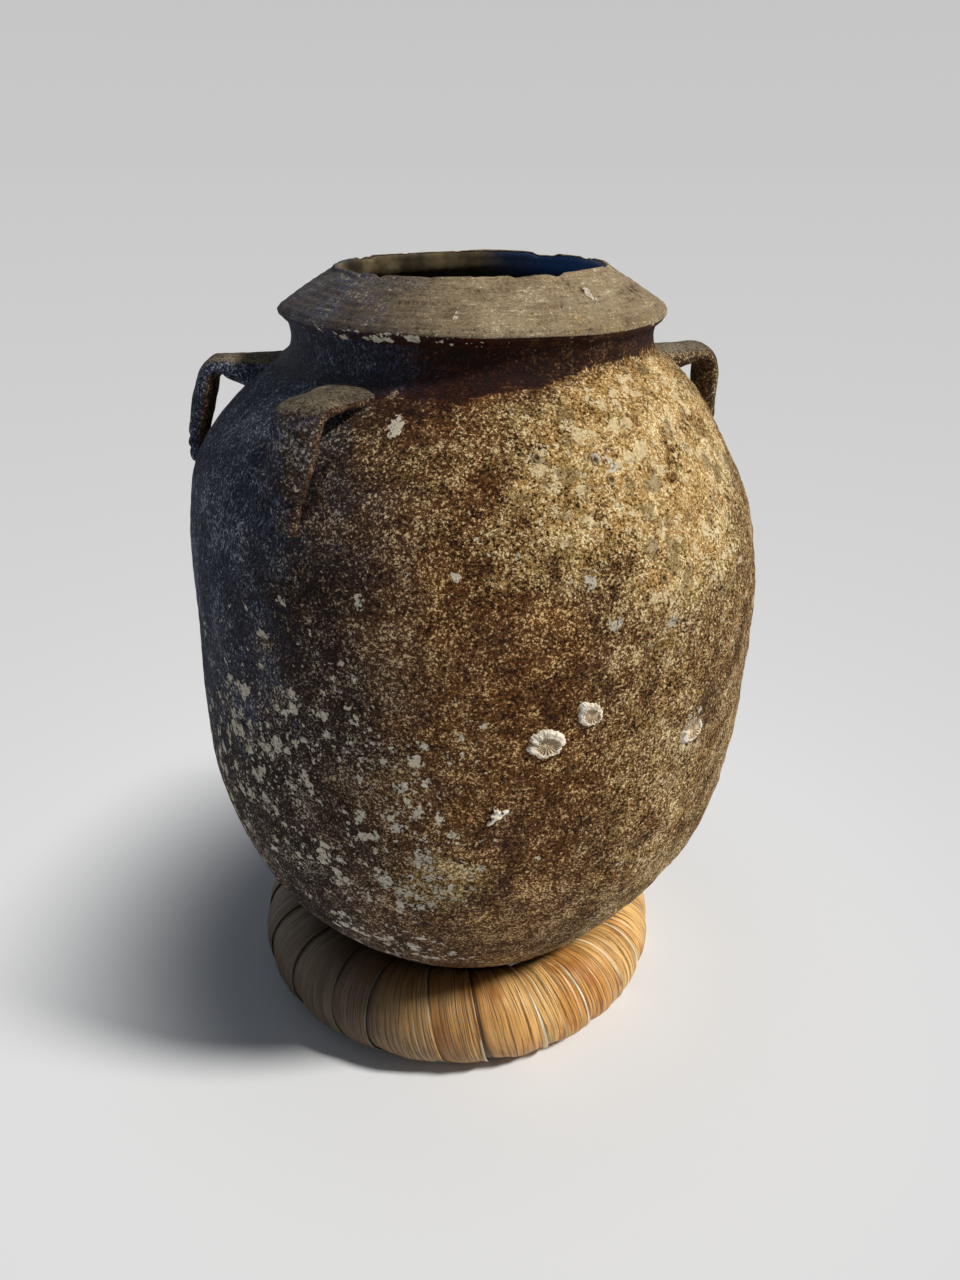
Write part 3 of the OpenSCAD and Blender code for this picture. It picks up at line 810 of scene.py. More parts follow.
def worn_clay(name, tones, film_and_shade_share=1.0, lime_share=1.0, grain_size=0.62 * mm, scraped=0.0, with_scars=False):
    """Fired clay with grit, crust, film, lime and painted shade. tones are the dark, middle and light one."""
    material, tree, shader, where = new_material(name)
    grain = use(tree, grain_group, {"Vector": where, "Size": grain_size})
    grain_height = grain.node.outputs["Height"]
    wide = noise(tree, where, 11 * mm, 5.0, 0.62)
    small = noise(tree, where, 2.6 * mm, 3.0, 0.65)
    value = plus(tree, grain, use(tree, mottle_group, {"Vector": where, "Size": 3 * mm, "Strength": 0.5}),
                 use(tree, mottle_group, {"Vector": where, "Size": 10 * mm, "Strength": 0.7}),
                 use(tree, mottle_group, {"Vector": where, "Size": 40 * mm, "Strength": 0.8}))

    violet = rise(tree, use(tree, mottle_group, {"Vector": where, "Size": 30 * mm, "Strength": 1.0}), -0.06, 0.14)
    tones = zones(tree, tones, violet_tones, times(tree, violet, 0.45))
    # Painted shade: darker, greyer tones on the side turned away from the light.
    grime = rise(tree, plus(tree, mark(tree, "grime"), centred(tree, wide, 0.5)), 0.0, 1.0)
    tones = zones(tree, tones, painted_shade_tones, times(tree, grime, film_and_shade_share))
    # Dark patches, and painted shade on the neck under the flange.
    dark_and_shade = rise(tree, plus(tree, mark(tree, "dark"), centred(tree, small, 0.8)), 0.35, 0.65)
    tones = zones(tree, tones, dark_and_shade_tones, dark_and_shade)
    crust = plus(tree, mark(tree, "crust"), centred(tree, wide, 1.1), centred(tree, small, 0.9), centred(tree, grain, 0.6))
    crust = times(tree, rise(tree, crust, 0.26, 0.86), math_node(tree, "SUBTRACT", 1.0, times(tree, dark_and_shade, 0.8)))
    tones = zones(tree, tones, crust_tones, crust)
    olive = rise(tree, use(tree, mottle_group, {"Vector": where, "Size": 15 * mm, "Strength": 1.0}), 0.0, 0.16)
    tones = zones(tree, tones, olive_tones, times(tree, times(tree, crust, olive), 0.75))
    feather = use(tree, stroke_group, {"Vector": where, "Size": 0.8 * mm})
    film = plus(tree, times(tree, mark(tree, "film"), film_and_shade_share), centred(tree, wide, 0.5), centred(tree, small, 0.9))
    film = rise(tree, film, 0.25, 0.85)
    tones = zones(tree, tones, film_tones, times(tree, film, 0.9))
    streak = times(tree, math_node(tree, "SUBTRACT", rise(tree, feather, 0.38, 0.64), grain), film)
    value = plus(tree, value, times(tree, streak, 0.45), times(tree, crust, 0.05), times(tree, dark_and_shade, -0.18))
    dust = rise(tree, plus(tree, mark(tree, "dust"), centred(tree, small, 1.2), centred(tree, grain, 0.5)), 0.35, 0.85)
    tones = zones(tree, tones, dusty_tones, dust)
    if scraped:
        flat = noise(tree, stretched(tree, where, (50, 50, 700)), 1.0, 4.0, 0.6)
        scratch = noise(tree, stretched(tree, where, (120, 120, 2200)), 1.0, 3.0, 0.6)
        smooth = plus(tree, times(tree, flat, 0.8), times(tree, wide, 0.6), centred(tree, scratch, 0.9), -0.16)
        value = plus(tree, times(tree, value, 1 - scraped), times(tree, smooth, scraped))
    colour = by_grain(tree, value, tones)

    lumps = use(tree, flake_group, {"Vector": where, "Size": 5.2 * mm, "Density": times(tree, crust, 0.56)})
    colour = mix(tree, times(tree, lumps, 0.75), colour, mix(tree, grain, paint(206, 178, 128), paint(250, 236, 200)))
    slabs = use(tree, flake_group, {"Vector": where, "Size": 9 * mm, "Density": times(tree, crust, 0.44)})
    colour = mix(tree, times(tree, slabs, 0.5), colour, mix(tree, grain, paint(74, 60, 40), paint(132, 116, 84)))
    pits = use(tree, flake_group, {"Vector": where, "Size": 2.4 * mm, "Density": 0.17})
    colour = mix(tree, times(tree, pits, 0.8), colour, paint(26, 16, 11))
    density = times(tree, mark(tree, "lime"), lime_share)
    big = use(tree, flake_group, {"Vector": where, "Size": 4.8 * mm, "Density": density})
    little = use(tree, flake_group, {"Vector": where, "Size": 2 * mm, "Density": times(tree, density, 0.75)})
    lime = math_node(tree, "MAXIMUM", big, little)
    eaten = rise(tree, plus(tree, small, centred(tree, grain, 0.4)), 0.30, 0.44)
    lime = times(tree, lime, eaten)
    lime_colour = mix(tree, grain, paint(176, 164, 142), paint(244, 238, 222))
    colour = mix(tree, times(tree, lime, 0.92), colour, lime_colour)

    relief_height = plus(tree, times(tree, grain_height, 0.9), times(tree, crust, 0.9), times(tree, wide, 1.2),
                         times(tree, small, 0.9), times(tree, lime, 0.7), times(tree, lumps, 0.8), times(tree, pits, -0.8))
    if with_scars:
        for azimuth, height, radius in scars:
            turn = math.radians(azimuth)
            out = (math.sin(turn), -math.cos(turn), 0.0)
            reach = float(wall_radius(height * mm))
            ring = use(tree, scar_group, {"Vector": where, "Place": (reach * out[0], reach * out[1], height * mm),
                                          "Out": out, "Radius": radius * mm})
            middle = ring.node.outputs["Middle"]
            colour = mix(tree, times(tree, middle, 0.8), colour, paint(40, 28, 18))
            colour = mix(tree, times(tree, ring, 0.5), colour, paint(120, 96, 62))
            relief_height = plus(tree, relief_height, times(tree, ring, 1.6), times(tree, middle, -1.2))

    inside = mark(tree, "inside")
    soft = rise(tree, noise(tree, where, 22 * mm, 5.0, 0.6), 0.35, 0.7)
    inner = mix(tree, soft, paint(48, 42, 32), paint(124, 110, 84))
    # Painted reflection: the inner wall on the right (+x) turns blue, as if it mirrored a blue sky.
    east = add(tree, "ShaderNodeSeparateXYZ", {0: where}, "X")
    inner = mix(tree, times(tree, rise(tree, east, 0.0, 0.05), 0.85), inner, paint(52, 110, 190))
    colour = mix(tree, inside, colour, inner)
    relief_height = times(tree, relief_height, math_node(tree, "SUBTRACT", 1.15, inside))
    dull = mix(tree, inside, (0.85, 0.85, 0.85, 1), (0.4, 0.4, 0.4, 1))
    dull = mix(tree, times(tree, dark_and_shade, 0.5), dull, (0.5, 0.5, 0.5, 1))
    finish_material(tree, shader, colour, dull, relief_height, (0.55 - 0.3 * scraped) * mm)
    shader.inputs["Specular IOR Level"].default_value = 0.14
    return material


stoneware = worn_clay("stoneware", bare_tones, with_scars=True)
collar_clay = worn_clay("rim_stoneware", collar_tones, 0.6, 0.9, 0.62 * mm, 0.5)
finishes = {"base_disc": stoneware, "lower_wall": stoneware, "upper_wall": stoneware,
            "neck": stoneware, "rim_collar": collar_clay}
for name, piece in parts.items():
    piece.data.materials.clear()
    piece.data.materials.append(finishes[name])
    for face in piece.data.polygons:
        face.material_index = 0
    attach(piece, "jar")
    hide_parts(name)

# %% [markdown]
# ## The lugs
# Four lugs of clay held the cord of the lid. Each is one strap: pressed on at the foot of the
# neck, bent over and pressed on again lower down, where fingers flattened it to a tongue. The
# strap is first made straight, by extruding an oval and changing its width and thickness on
# the way, then smoothed, and then bent along the same path that the built lug follows.

# %% Make one straight strap
lug_shapes = {"lug_front_left": (-33, 26 * mm, 0.0), "lug_left": (-90, 22 * mm, 1.15),
              "lug_right": (106, 22 * mm, 0.8), "lug_back": (164, 23 * mm, 0.7)}
strap_thickness = 9.6 * mm
strap_rows = 18
strap_sides = 16


def strap_half_width(t, width):
    marks = (0, 0.12, 0.3, 0.45, 0.62, 0.8, 0.92, 1)
    shares = (1.4, 1.15, 1.0, 1.0, 0.96, 0.76, 0.52, 0.3)
    return width / 2 * float(np.interp(t, marks, shares))


def web(t):
    """How much thicker the strap is towards its root, as a share of its thickness."""
    return np.maximum(0, 1 - t / 0.40) ** 0.7


def strap_half_thickness(t, web_share):
    return strap_thickness / 2 * (0.98 + 1.3 * web_share * float(web(t))
                                  + 0.20 * math.exp(-((t - 0.62) / 0.14) ** 2)
                                  - 0.16 * math.exp(-((t - 0.26) / 0.12) ** 2)
                                  - 0.35 * max(0, (t - 0.9) / 0.1) ** 2)


def straight_strap(name, width, web_share):
    """A closed strap along Z from 0 to 1, with its real width and thickness."""
    alone()
    bpy.ops.mesh.primitive_circle_add(vertices=strap_sides, radius=1, fill_type="NGON", location=(0, 0, 0))
    strap = bpy.context.object
    strap.name = strap.data.name = name
    bpy.ops.object.mode_set(mode="EDIT")
    bpy.ops.mesh.select_mode(type="FACE")
    bpy.ops.mesh.select_all(action="SELECT")
    wide, thick = strap_half_width(0, width), strap_half_thickness(0, web_share)
    bpy.ops.transform.resize(value=(wide, thick, 1), center_override=(0, 0, 0))
    for row in range(1, strap_rows + 1):
        t = row / strap_rows
        bpy.ops.mesh.extrude_region_move(TRANSFORM_OT_translate={"value": (0, 0, 1 / strap_rows)})
        new_wide, new_thick = strap_half_width(t, width), strap_half_thickness(t, web_share)
        bpy.ops.transform.resize(value=(new_wide / wide, new_thick / thick, 1), center_override=(0, 0, t))
        wide, thick = new_wide, new_thick
    bpy.ops.mesh.inset(thickness=0.9 * mm)
    bpy.ops.mesh.select_all(action="SELECT")
    bpy.ops.mesh.normals_make_consistent(inside=False)
    bpy.ops.object.mode_set(mode="OBJECT")
    return strap


# %% Bend the strap along its path
bar_drop = 3.3 * mm
strap_reach = 28 * mm
strap_drop = 48 * mm
bend_radius = 10 * mm
root_sunk = 6 * mm
bar_height = shoulder_top - bar_drop
root_radius = wall_radius(shoulder_top) - root_sunk
reach = wall_radius(bar_height) + strap_reach
tip_radius = wall_radius(bar_height - strap_drop) + 1.2 * mm
lean = math.atan2(tip_radius - reach, strap_drop)
bend_turn = math.pi / 2 - lean
bend_tangent = bend_radius * math.tan(bend_turn / 2)
bar_length = reach - root_radius - bend_tangent
bend_length = bend_radius * bend_turn
tongue_length = math.hypot(strap_drop, tip_radius - reach) - bend_tangent
path_length = bar_length + bend_length + tongue_length


def on_path(s):
    """Radius, height and heading of the strap's middle line after lengths s."""
    in_bend = np.clip((s - bar_length) / bend_length, 0, 1) * bend_turn
    past_bend = np.maximum(s - bar_length - bend_length, 0)
    radius = root_radius + np.minimum(s, bar_length) + bend_radius * np.sin(in_bend)
    radius = radius + past_bend * math.cos(bend_turn)
    height = bar_height - bend_radius * (1 - np.cos(in_bend)) - past_bend * math.sin(bend_turn)
    return radius, height, in_bend


def bend_strap(strap, azimuth, web_share, seed):
    """Lays a straight strap along its path at an azimuth, and roughens it."""
    points = get_points(strap.data)
    share = points[:, 2]
    radius, height, heading = on_path(share * path_length)
    rise_up = points[:, 1] - strap_thickness / 2 * 1.2 * web_share * web(share)
    out = radius + rise_up * np.sin(heading)
    up = height + rise_up * np.cos(heading)
    sway = 1.6 * mm * np.sin(3.1 * share + seed)
    side = points[:, 0] + sway
    bent = np.stack([side, -out, up], axis=1)
    turn = math.radians(azimuth)
    spin = np.array([[math.cos(turn), -math.sin(turn), 0], [math.sin(turn), math.cos(turn), 0], [0, 0, 1]])
    bent = bent @ spin.T
    set_points(strap.data, settle(bent))
    normals = normals_of(strap.data)
    bent = get_points(strap.data)
    marks = weather(bent)
    pressed = -1.0 * mm * np.exp(-((share - 0.85) / 0.02) ** 2) - 0.8 * mm * np.exp(-((share - 0.925) / 0.015) ** 2)
    lumps = 0.55 * mm * cloud(bent, 11 * mm, seed) + 0.25 * mm * cloud(bent, 4 * mm, seed + 1)
    grain = 0.12 * mm * rough(bent, 2.2 * mm, seed + 2, 2)
    set_points(strap.data, bent + normals * (lumps + grain + pressed)[:, None])
    marks["crust"] = marks["crust"] * 0.5
    marks["dust"] = ramp(normals[:, 2], 0.45, 0.95)
    # Painted light and shade: lug faces turned towards the light (+x) lose film and painted shade, and on the left lugs
    # the faces turned away get the film's blue-grey as painted shade.
    sunny = ramp(normals[:, 0], 0.1, 0.7)
    marks["film"] = np.maximum(marks["film"], 0.7 * (azimuth < 0) * ramp(-normals[:, 0], 0.2, 0.7)) * (1 - sunny)
    marks["grime"] = marks["grime"] * (1 - 0.6 * sunny)
    marks["inside"] = np.zeros(len(bent))
    keep_marks(strap.data, marks)


lug_tones = (paint(40, 26, 19), paint(86, 64, 46), paint(160, 138, 106))
lug_clay = worn_clay("lug_stoneware", lug_tones, 0.9, 0.5)
for number, (name, (azimuth, width, web_share)) in enumerate(lug_shapes.items()):
    strap = straight_strap("worn_" + name, width, web_share)
    smoother = strap.modifiers.new("smoother", "SUBSURF")
    smoother.levels = smoother.render_levels = 3
    bpy.ops.object.modifier_apply(modifier="smoother")
    bend_strap(strap, azimuth, web_share, 200 + 10 * number)
    bpy.ops.object.shade_smooth()
    strap.data.materials.append(lug_clay)
    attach(strap, "jar")
    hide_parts(name)
    print(strap.name, len(strap.data.polygons), "faces")

# %% [markdown]
# ## Barnacles
# An acorn barnacle that dies and breaks off leaves its floor and the stumps of its plates: a
# white ring with a scalloped edge, and inside it a disc with fine ribs like the spokes of a
# wheel. Each is made flat from a disc whose rings are inset one by one, then raised ring by
# ring, and last laid on the curved wall.

# %% Make and place the barnacles
# Azimuth, width, height, direction of the notch, direction of a side wing, and how worn the top is
barnacles = {"barnacle_large": (12, 16.5, 14, 172, None, 0.0), "barnacle_small": (19.5, 11.5, 11, 30, 125, 0.1),
             "barnacle_side": (44, 16, 14.5, 60, None, 0.6)}
shell_rings = [(share, 0) for share in (0.96, 0.92, 0.87, 0.82, 0.77, 0.72, 0.67, 0.62, 0.57, 0.52, 0.46, 0.40,
                                        0.34, 0.28, 0.21, 0.14, 0.07)]


def flat_disc(name, sides, rings):
    """A disc of radius 1 with rings at the given shares, closed at its middle."""
    alone()
    bpy.ops.mesh.primitive_circle_add(vertices=sides, radius=1, fill_type="NOTHING", location=(0, 0, 0))
    disc = bpy.context.object
    disc.name = disc.data.name = name
    bpy.ops.object.mode_set(mode="EDIT")
    bpy.ops.mesh.select_mode(type="VERT")
    bpy.ops.mesh.select_all(action="SELECT")
    last = 1.0
    for share, height in rings:
        bpy.ops.mesh.extrude_region_move(TRANSFORM_OT_translate={"value": (0, 0, 0)})
        bpy.ops.transform.resize(value=(share / last, share / last, 1), center_override=(0, 0, 0))
        last = share
    bpy.ops.mesh.extrude_region_move(TRANSFORM_OT_translate={"value": (0, 0, 0)})
    bpy.ops.mesh.merge(type="CENTER")
    bpy.ops.object.mode_set(mode="OBJECT")
    return disc


def lay_on_wall(flat, azimuth, height):
    """Turns x, y and a height over the wall into places on the jar."""
    up = height + flat[:, 1] * 0.97
    radius = wall_radius(up) + flat[:, 2]
    turn = math.radians(azimuth) + flat[:, 0] / radius
    return settle(np.stack([radius * np.sin(turn), -radius * np.cos(turn), up], axis=1))


def near_angle(angle, centre, width):
    """1 at a direction and 0 away from it, both in degrees."""
    return np.exp(-(turn_away(np.degrees(angle), centre) / width) ** 2)


def grow_barnacle(name, azimuth, wide, high, notch_at, wing_at, worn_top, seed):
    low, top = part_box(name)
    height = (low.z + top.z) / 2
    disc = flat_disc("shell_" + name, 96, shell_rings)
    smoother = disc.modifiers.new("smoother", "SUBSURF")
    smoother.levels = smoother.render_levels = 1
    bpy.ops.object.modifier_apply(modifier="smoother")
    points = get_points(disc.data)
    share = np.hypot(points[:, 0], points[:, 1])
    angle = np.arctan2(points[:, 1], points[:, 0])
    round_it = np.stack([np.cos(angle), np.sin(angle), 0 * angle + seed], 1)
    ragged = 1 + 0.09 * cloud(round_it, 0.7, seed) + 0.05 * cloud(round_it, 0.25, seed + 1)
    ragged = ragged + 0.10 * cloud(round_it, 0.11, seed + 2) - 0.30 * near_angle(angle, notch_at, 9)
    if wing_at is not None:
        ragged = ragged + 0.34 * near_angle(angle, wing_at, 22)
    inner = np.hypot(points[:, 0] - 0.05, points[:, 1] + 0.12) / 0.60
    spokes = np.abs(np.sin(13 * angle + 0.5 * np.sin(3 * angle) + cloud(round_it, 0.5, seed + 3)))
    teeth = np.abs(np.sin(17 * angle + 2 * cloud(round_it, 0.7, seed + 4)))
    skirt = ramp(1 - share, 0, 0.20) * (1.7 + 0.9 * cloud(round_it, 0.5, seed + 5)) * (0.72 + 0.28 * teeth)
    floor_part = ramp(1.06 - inner, 0, 0.14)
    dish = 0.75 + 0.45 * (spokes - 0.5) * ramp(inner, 0.1, 0.3) + 0.25 * ramp(0.25 - inner, 0, 0.2)
    heights = skirt * (1 - floor_part) + dish * floor_part - 1.0 * ramp(share, 0.965, 1.0)
    heights = heights - 1.5 * near_angle(angle, notch_at, 9) * ramp(share, 0.5, 0.75)
    place = np.stack([points[:, 0] * wide / 2, points[:, 1] * high / 2, 0 * share + seed], 1)
    heights = heights + 0.35 * cloud(place, 1.6, seed + 6) + 0.16 * cloud(place, 0.6, seed + 7)
    worn_away = worn_top * ramp(points[:, 1] + 0.3 * cloud(place, 2.0, seed + 8), 0.15, 0.5)
    heights = heights * (1 - 0.85 * worn_away) - 0.25 * worn_away
    flat = np.stack([points[:, 0] * ragged * wide / 2, points[:, 1] * ragged * high / 2, heights], 1) * mm
    set_points(disc.data, lay_on_wall(flat, azimuth, height))
    grooves = floor_part * ramp(1 - spokes, 0.3, 0.75) + 0.35 * (1 - floor_part) * ramp(1 - teeth, 0.6, 1)
    keep_marks(disc.data, {"groove": grooves, "floor_part": floor_part, "worn": worn_away})
    alone()
    bpy.context.view_layer.objects.active = disc
    disc.select_set(True)
    bpy.ops.object.mode_set(mode="EDIT")
    bpy.ops.mesh.select_all(action="DESELECT")
    bpy.ops.mesh.select_mode(type="EDGE")
    bpy.ops.mesh.select_non_manifold()
    bpy.ops.mesh.edge_face_add()
    bpy.ops.mesh.select_all(action="SELECT")
    bpy.ops.mesh.normals_make_consistent(inside=False)
    bpy.ops.object.mode_set(mode="OBJECT")
    bpy.ops.object.shade_smooth()
    return disc


material, tree, shader, where = new_material("barnacle_shell")
chalk = rise(tree, noise(tree, where, 1.2 * mm, 4.0, 0.65), 0.35, 0.65)
colour = mix(tree, chalk, paint(218, 204, 178), paint(252, 248, 238))
colour = mix(tree, times(tree, mark(tree, "floor_part"), 0.55), colour, paint(222, 186, 128))
colour = mix(tree, rise(tree, mark(tree, "groove"), 0.1, 0.5), colour, paint(78, 46, 16))
gone = rise(tree, plus(tree, mark(tree, "worn"), centred(tree, noise(tree, where, 1.1 * mm, 3.0, 0.6), 1.6)), 0.3, 0.6)
colour = mix(tree, times(tree, gone, 0.85), colour, paint(128, 96, 56))
finish_material(tree, shader, colour, mix(tree, chalk, (0.7, 0.7, 0.7, 1), (0.88, 0.88, 0.88, 1)), chalk, 0.2 * mm)
barnacle_shell = material

for number, (name, (azimuth, *form)) in enumerate(barnacles.items()):
    piece = grow_barnacle(name, azimuth, *form, 300 + 10 * number)
    piece.data.materials.append(barnacle_shell)
    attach(piece, "jar")
    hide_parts(name)
    print(piece.name, len(piece.data.polygons), "faces")

# %% The broken shell
low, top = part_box("shell_fragment")
flake_rings = [(0.94, 0), (0.85, 0), (0.7, 0), (0.5, 0), (0.3, 0), (0.15, 0)]
disc = flat_disc("broken_shell", 48, flake_rings)
smoother = disc.modifiers.new("smoother", "SUBSURF")
smoother.levels = smoother.render_levels = 1
bpy.ops.object.modifier_apply(modifier="smoother")
points = get_points(disc.data)
share = np.hypot(points[:, 0], points[:, 1])
angle = np.arctan2(points[:, 1], points[:, 0])
lobes = (0.42 + 0.75 * near_angle(angle, 28, 24) + 0.70 * near_angle(angle, 108, 20) + 1.1 * near_angle(angle, 228, 15)
         + 0.35 * near_angle(angle, 180, 18))
heights = np.interp(share, [0, 0.5, 0.85, 0.94, 1], [1.1, 1.2, 1.0, 0.6, -0.9])
place = np.stack([points[:, 0] * lobes * 4, points[:, 1] * lobes * 4, 0 * share], 1)
heights = heights + 0.5 * cloud(place, 1.4, 334) * (heights > 0) + 0.25 * cloud(place, 0.6, 335) * (heights > 0)
flat = np.stack([points[:, 0] * lobes * 4.6, points[:, 1] * lobes * 4.6, heights], 1) * mm
set_points(disc.data, lay_on_wall(flat, 4.5, (low.z + top.z) / 2))
keep_marks(disc.data, {"groove": 0.7 * ramp(cloud(place, 1.1, 336), 0.2, 0.6), "floor_part": 0 * share, "worn": 0 * share})
bpy.ops.object.mode_set(mode="EDIT")
bpy.ops.mesh.select_all(action="DESELECT")
bpy.ops.mesh.select_mode(type="EDGE")
bpy.ops.mesh.select_non_manifold()
bpy.ops.mesh.edge_face_add()
bpy.ops.mesh.select_all(action="SELECT")
bpy.ops.mesh.normals_make_consistent(inside=False)
bpy.ops.object.mode_set(mode="OBJECT")
bpy.ops.object.shade_smooth()
disc.data.materials.append(barnacle_shell)
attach(disc, "jar")
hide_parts("shell_fragment")

# %% [markdown]
# ## The leaf winding
# One long strip of dry leaf goes round and round the straw. It is a flat grid as long as all
# its turns, wound by working out where each corner comes to lie: round the section of the ring
# as it goes along, and a little further round the ring with each turn. Each turn covers the
# edge of the next, which gives the steps and dark lines between turns.

# %% Measure the ring
low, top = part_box("leaf_wrap")
ring_radius = (top.y - low.y) / 2
ring_shift = -(top.x + low.x) / 2
ring_hole = radius_of(points_of("leaf_wrap")).min()
ring_height = top.z - low.z
strip_thickness = 2.2 * mm
ring_flat = 0.5 * mm
ring_rise = 0.16
turns = 24
first_angle = -130
mean_half_width = (ring_radius - ring_hole) / 2
print("ring:", round(ring_radius / mm, 1), "mm radius, hole", round(ring_hole / mm, 1))


def ring_half_width(turn):
    out = -ring_shift * np.sin(turn) + np.sqrt(ring_radius ** 2 - (ring_shift * np.cos(turn)) ** 2)
    return (out - ring_hole) / 2


def on_ring(turn, angle, lift):
    """A place on the ring: turn is the way round it, angle the way round its section."""
    half_width = ring_half_width(turn)
    half_height = 24 * mm + ring_rise * (half_width - mean_half_width)
    wide = half_width - strip_thickness + lift
    high = half_height - strip_thickness + lift
    radius = ring_hole + half_width + wide * np.cos(angle)
    up = np.maximum(0, half_height - ring_flat + high * np.sin(angle))
    return np.stack([radius * np.sin(turn), -radius * np.cos(turn), up], axis=1)


# %% Wind the strip
steps_per_turn = 52
steps_across = 30
alone()
bpy.ops.mesh.primitive_grid_add(x_subdivisions=turns * steps_per_turn, y_subdivisions=steps_across,
                                size=1, location=(0, 0, 0), calc_uvs=True)
strip = bpy.context.object
strip.name = strip.data.name = "leaf_strip"
points = get_points(strip.data)
along = (points[:, 0] + 0.5) * turns
across = points[:, 1] * 2


def line(value, size, seed):
    """Noise along one line, from -1 to 1."""
    value = np.asarray(value, float)
    return cloud(np.stack([value, 0 * value, 0 * value + seed], 1), size, seed)


def left_edge(t):
    """Where the edge of the strip lies round the ring, in turns of the winding."""
    return t + 0.30 * line(t, 0.9, 401) + 0.10 * line(t, 0.31, 402)


overlap = 0.16
start = left_edge(along)
end = left_edge(along + 1) + overlap
way_round = start + (end - start) * (across + 1) / 2
pitch = full_turn / turns
turn = pitch * (way_round - 0.5)
angle = math.radians(first_angle) - full_turn * (along - np.floor(along)) - 0 * across
lift = strip_thickness * (0.10 + 0.80 * ramp(across, -1.05, 0.2))
lift = lift - strip_thickness * 0.25 * ramp(across, 0.4, 1.0)
ribs = 0.20 * mm * line(way_round * 26 + 0.4 * line(along, 0.2, 403), 0.5, 404)
ribs = ribs + 0.30 * mm * line(way_round * 8 + along, 1.0, 405)
folds = 0.7 * mm * ramp(line(way_round * 3.3 + 17 * np.floor(along), 0.5, 406), 0.40, 0.75)
puckers = 0.5 * mm * cloud(np.stack([along * 8, way_round * 5, 0 * along], 1), 1.0, 407)
lift = lift + (ribs + folds + puckers) * ramp(1.0 - np.abs(across), 0, 0.15)
lift = np.minimum(lift, strip_thickness)
curled = ramp(line(np.floor(along) * 7.3 + 0.35 * (along - np.floor(along)), 1.0, 408), 0.0, 0.4)
lift = lift + 0.9 * mm * curled * ramp(across, 0.86, 1.0) * ramp(1 - np.abs(2 * (along - np.floor(along)) - 1), 0.1, 0.4)
set_points(strip.data, on_ring(turn, angle, lift))
thick = strip.modifiers.new("thickness", "SOLIDIFY")
thick.thickness = 0.45 * mm
thick.offset = -1
bpy.ops.object.modifier_apply(modifier="thickness")
bpy.ops.object.shade_smooth()
print("leaf strip:", len(strip.data.polygons), "faces")

# %% [markdown]
# ## Dry leaf
# Fibres run along the strip, so the pattern follows the strip's own map: it is stretched a
# hundred times longer than it is wide. Each turn has its own tone, from straw yellow to
# orange brown. The side away from the light is darkened and greyed as painted shade, and so
# is the covered edge of each turn, where the next turn shades it.

# %% Colour the leaf
strip_length = turns * 150 * mm
strip_breadth = 29 * mm
material, tree, shader, where = new_material("dry_leaf")
own_map = tree.nodes["Texture Coordinate"].outputs["UV"]
laid = stretched(tree, own_map, (strip_length, strip_breadth, 1))
sway = add(tree, "ShaderNodeTexNoise", {"Vector": stretched(tree, laid, (9, 25, 1)), "Scale": 1.0, "Detail": 3.0}, "Fac")
swayed = add(tree, "ShaderNodeCombineXYZ", {"Y": times(tree, sway, 9 * mm)})
laid = add(tree, "ShaderNodeVectorMath", {0: laid, 1: swayed}, operation="ADD")


def along_leaf(lengthwise, crosswise, detail=3.0):
    """Noise drawn out along the strip: scales are patches to a metre."""
    return add(tree, "ShaderNodeTexNoise", {"Vector": stretched(tree, laid, (lengthwise, crosswise, 1)),
               "Scale": 1.0, "Detail": detail, "Roughness": 0.6}, "Fac")


fibres = along_leaf(16, 1500)
hairs = along_leaf(30, 2600, 2.0)
coarse = along_leaf(9, 420)
by_turn = along_leaf(6, 30, 2.0)
stain = along_leaf(34, 90)
colour = mix(tree, rise(tree, by_turn, 0.38, 0.62), paint(214, 152, 74), paint(251, 206, 130))
colour = mix(tree, times(tree, rise(tree, coarse, 0.48, 0.64), 0.45), colour, paint(182, 122, 56))
colour = mix(tree, times(tree, rise(tree, stain, 0.54, 0.66), 0.6), colour, paint(182, 102, 32))
colour = mix(tree, times(tree, rise(tree, hairs, 0.50, 0.60), 0.5), colour, paint(146, 94, 42))
colour = mix(tree, times(tree, rise(tree, fibres, 0.54, 0.60), 0.85), colour, paint(88, 52, 20))
pale = along_leaf(11, 1100, 2.0)
colour = mix(tree, times(tree, rise(tree, pale, 0.60, 0.68), 0.6), colour, paint(252, 238, 204))
edge_place = add(tree, "ShaderNodeSeparateXYZ", {0: own_map}, "Y")
pale_edge = times(tree, rise(tree, edge_place, 0.96, 0.975), rise(tree, along_leaf(16, 4), 0.43, 0.53))
colour = mix(tree, pale_edge, colour, paint(248, 236, 206))
# Painted shade: the covered edge of each turn is darkened, as the shade in the gap between turns.
tucked_edge_shade = rise(tree, edge_place, 0.22, 0.10)
colour = mix(tree, times(tree, tucked_edge_shade, 0.9), colour, paint(46, 28, 14))
# Painted shade: the left side of the ring (-x), away from the light, is painted dark and grey.
east = add(tree, "ShaderNodeSeparateXYZ", {0: where}, "X")
left_side_shade = times(tree, rise(tree, east, 0.05, -0.08), 0.93)
colour = mix(tree, left_side_shade, colour, mix(tree, fibres, paint(68, 56, 42), paint(38, 31, 24)))
height = math_node(tree, "SUBTRACT", times(tree, coarse, 1.2), rise(tree, fibres, 0.5, 0.62))
rough_leaf = mix(tree, fibres, (0.42, 0.42, 0.42, 1), (0.62, 0.62, 0.62, 1))
finish_material(tree, shader, colour, rough_leaf, height, 0.45 * mm)
dry_leaf = material
strip.data.materials.append(dry_leaf)
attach(strip, "ring_stand")
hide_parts("leaf_wrap")

# %% [markdown]
# ## The straw inside
# Under the leaf lies a ring of straw. Hardly any of it shows, but the ring would be hollow
# without it, so it is there: stems laid side by side round the ring, each a thin closed hoop.

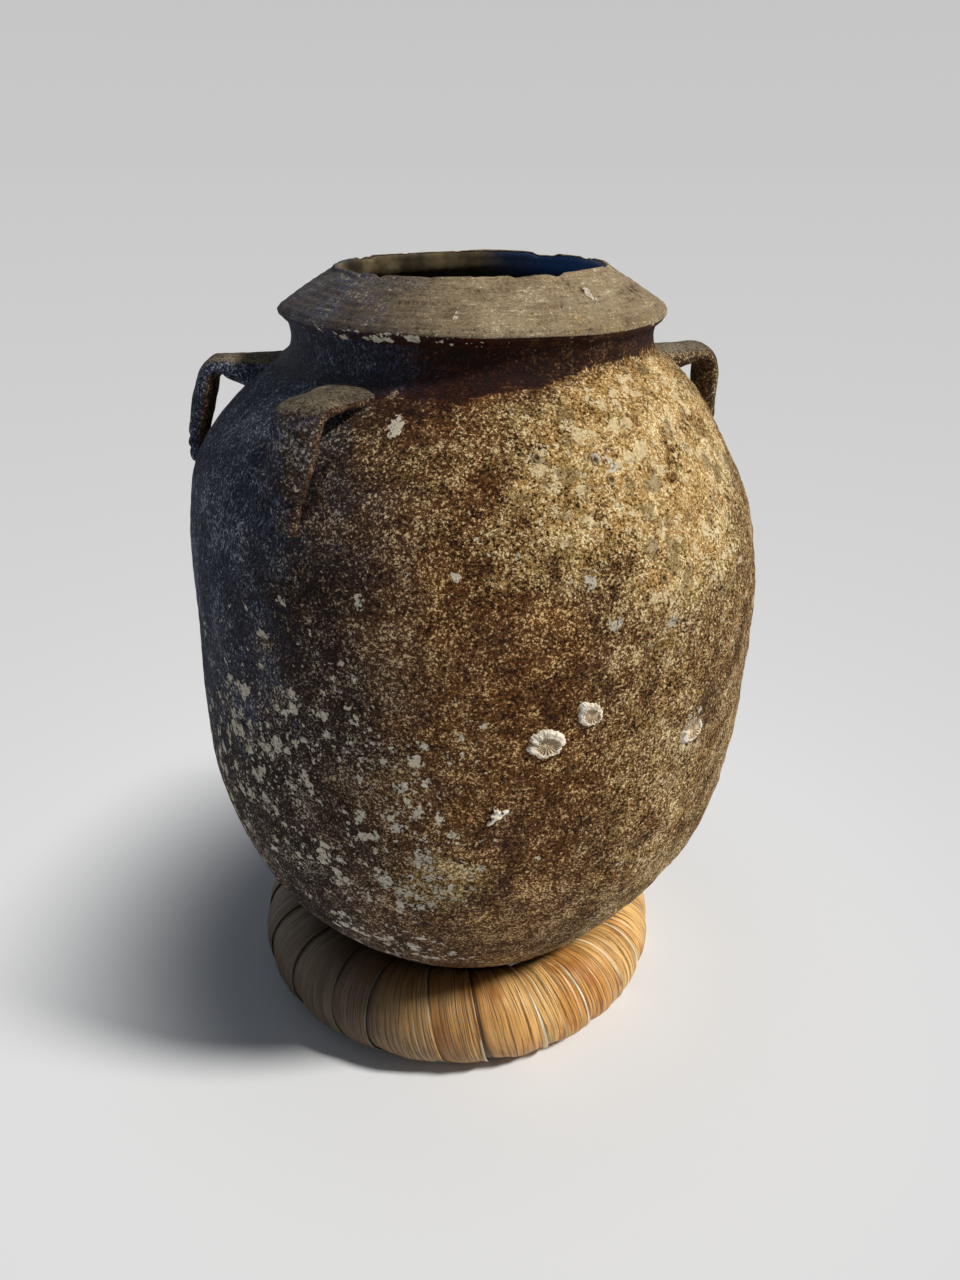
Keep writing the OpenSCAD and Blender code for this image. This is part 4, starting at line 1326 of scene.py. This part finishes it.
# %% Bundle the straw
stem_radius = 2.6 * mm
stem_rows = 5
stems = []
for row in range(1, stem_rows + 1):
    in_row = 6 * row
    for k in range(in_row):
        stems.append((row / stem_rows, full_turn * (k + 0.5 * (row % 2)) / in_row))
alone()
bpy.ops.mesh.primitive_torus_add(major_segments=96, minor_segments=6, major_radius=1, minor_radius=0.1,
                                 location=(0, 0, 0))
hoop = bpy.context.object
hoop_points = get_points(hoop.data)
hoop_turn = np.arctan2(hoop_points[:, 0], -hoop_points[:, 1])
hoop_side = (np.hypot(hoop_points[:, 0], hoop_points[:, 1]) - 1) * 10
hoop_up = hoop_points[:, 2] * 10
copies = [hoop]
for number in range(1, len(stems)):
    copy = hoop.copy()
    copy.data = hoop.data.copy()
    bpy.context.scene.collection.objects.link(copy)
    copies.append(copy)
for number, (copy, (share, angle)) in enumerate(zip(copies, stems)):
    half_width = ring_half_width(hoop_turn)
    room_wide = half_width - strip_thickness - 0.9 * mm - stem_radius
    room_high = 24 * mm + ring_rise * (half_width - mean_half_width) - strip_thickness - 0.9 * mm - stem_radius
    wander = 0.25 * np.sin(hoop_turn * (1 + number % 3) + number)
    radius = ring_hole + half_width + room_wide * share * np.cos(angle + wander) + hoop_side * stem_radius
    up = 24 * mm - ring_flat + room_high * share * np.sin(angle + wander) + hoop_up * stem_radius
    up = np.maximum(up, 0.8 * mm)
    set_points(copy.data, np.stack([radius * np.sin(hoop_turn), -radius * np.cos(hoop_turn), up], 1))
alone()
for copy in copies:
    copy.select_set(True)
bpy.context.view_layer.objects.active = hoop
bpy.ops.object.join()
straw = bpy.context.object
straw.name = straw.data.name = "straw_bundle"
bpy.ops.object.shade_smooth()
material, tree, shader, where = new_material("straw")
streaks = noise(tree, where, 3 * mm, 4.0)
colour = mix(tree, rise(tree, streaks, 0.35, 0.65), paint(150, 118, 66), paint(206, 176, 116))
finish_material(tree, shader, colour, mix(tree, streaks, (0.5, 0.5, 0.5, 1), (0.8, 0.8, 0.8, 1)), streaks, 0.3 * mm)
straw.data.materials.append(material)
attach(straw, "ring_stand")
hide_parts("straw_core")
print("straw:", len(stems), "stems")
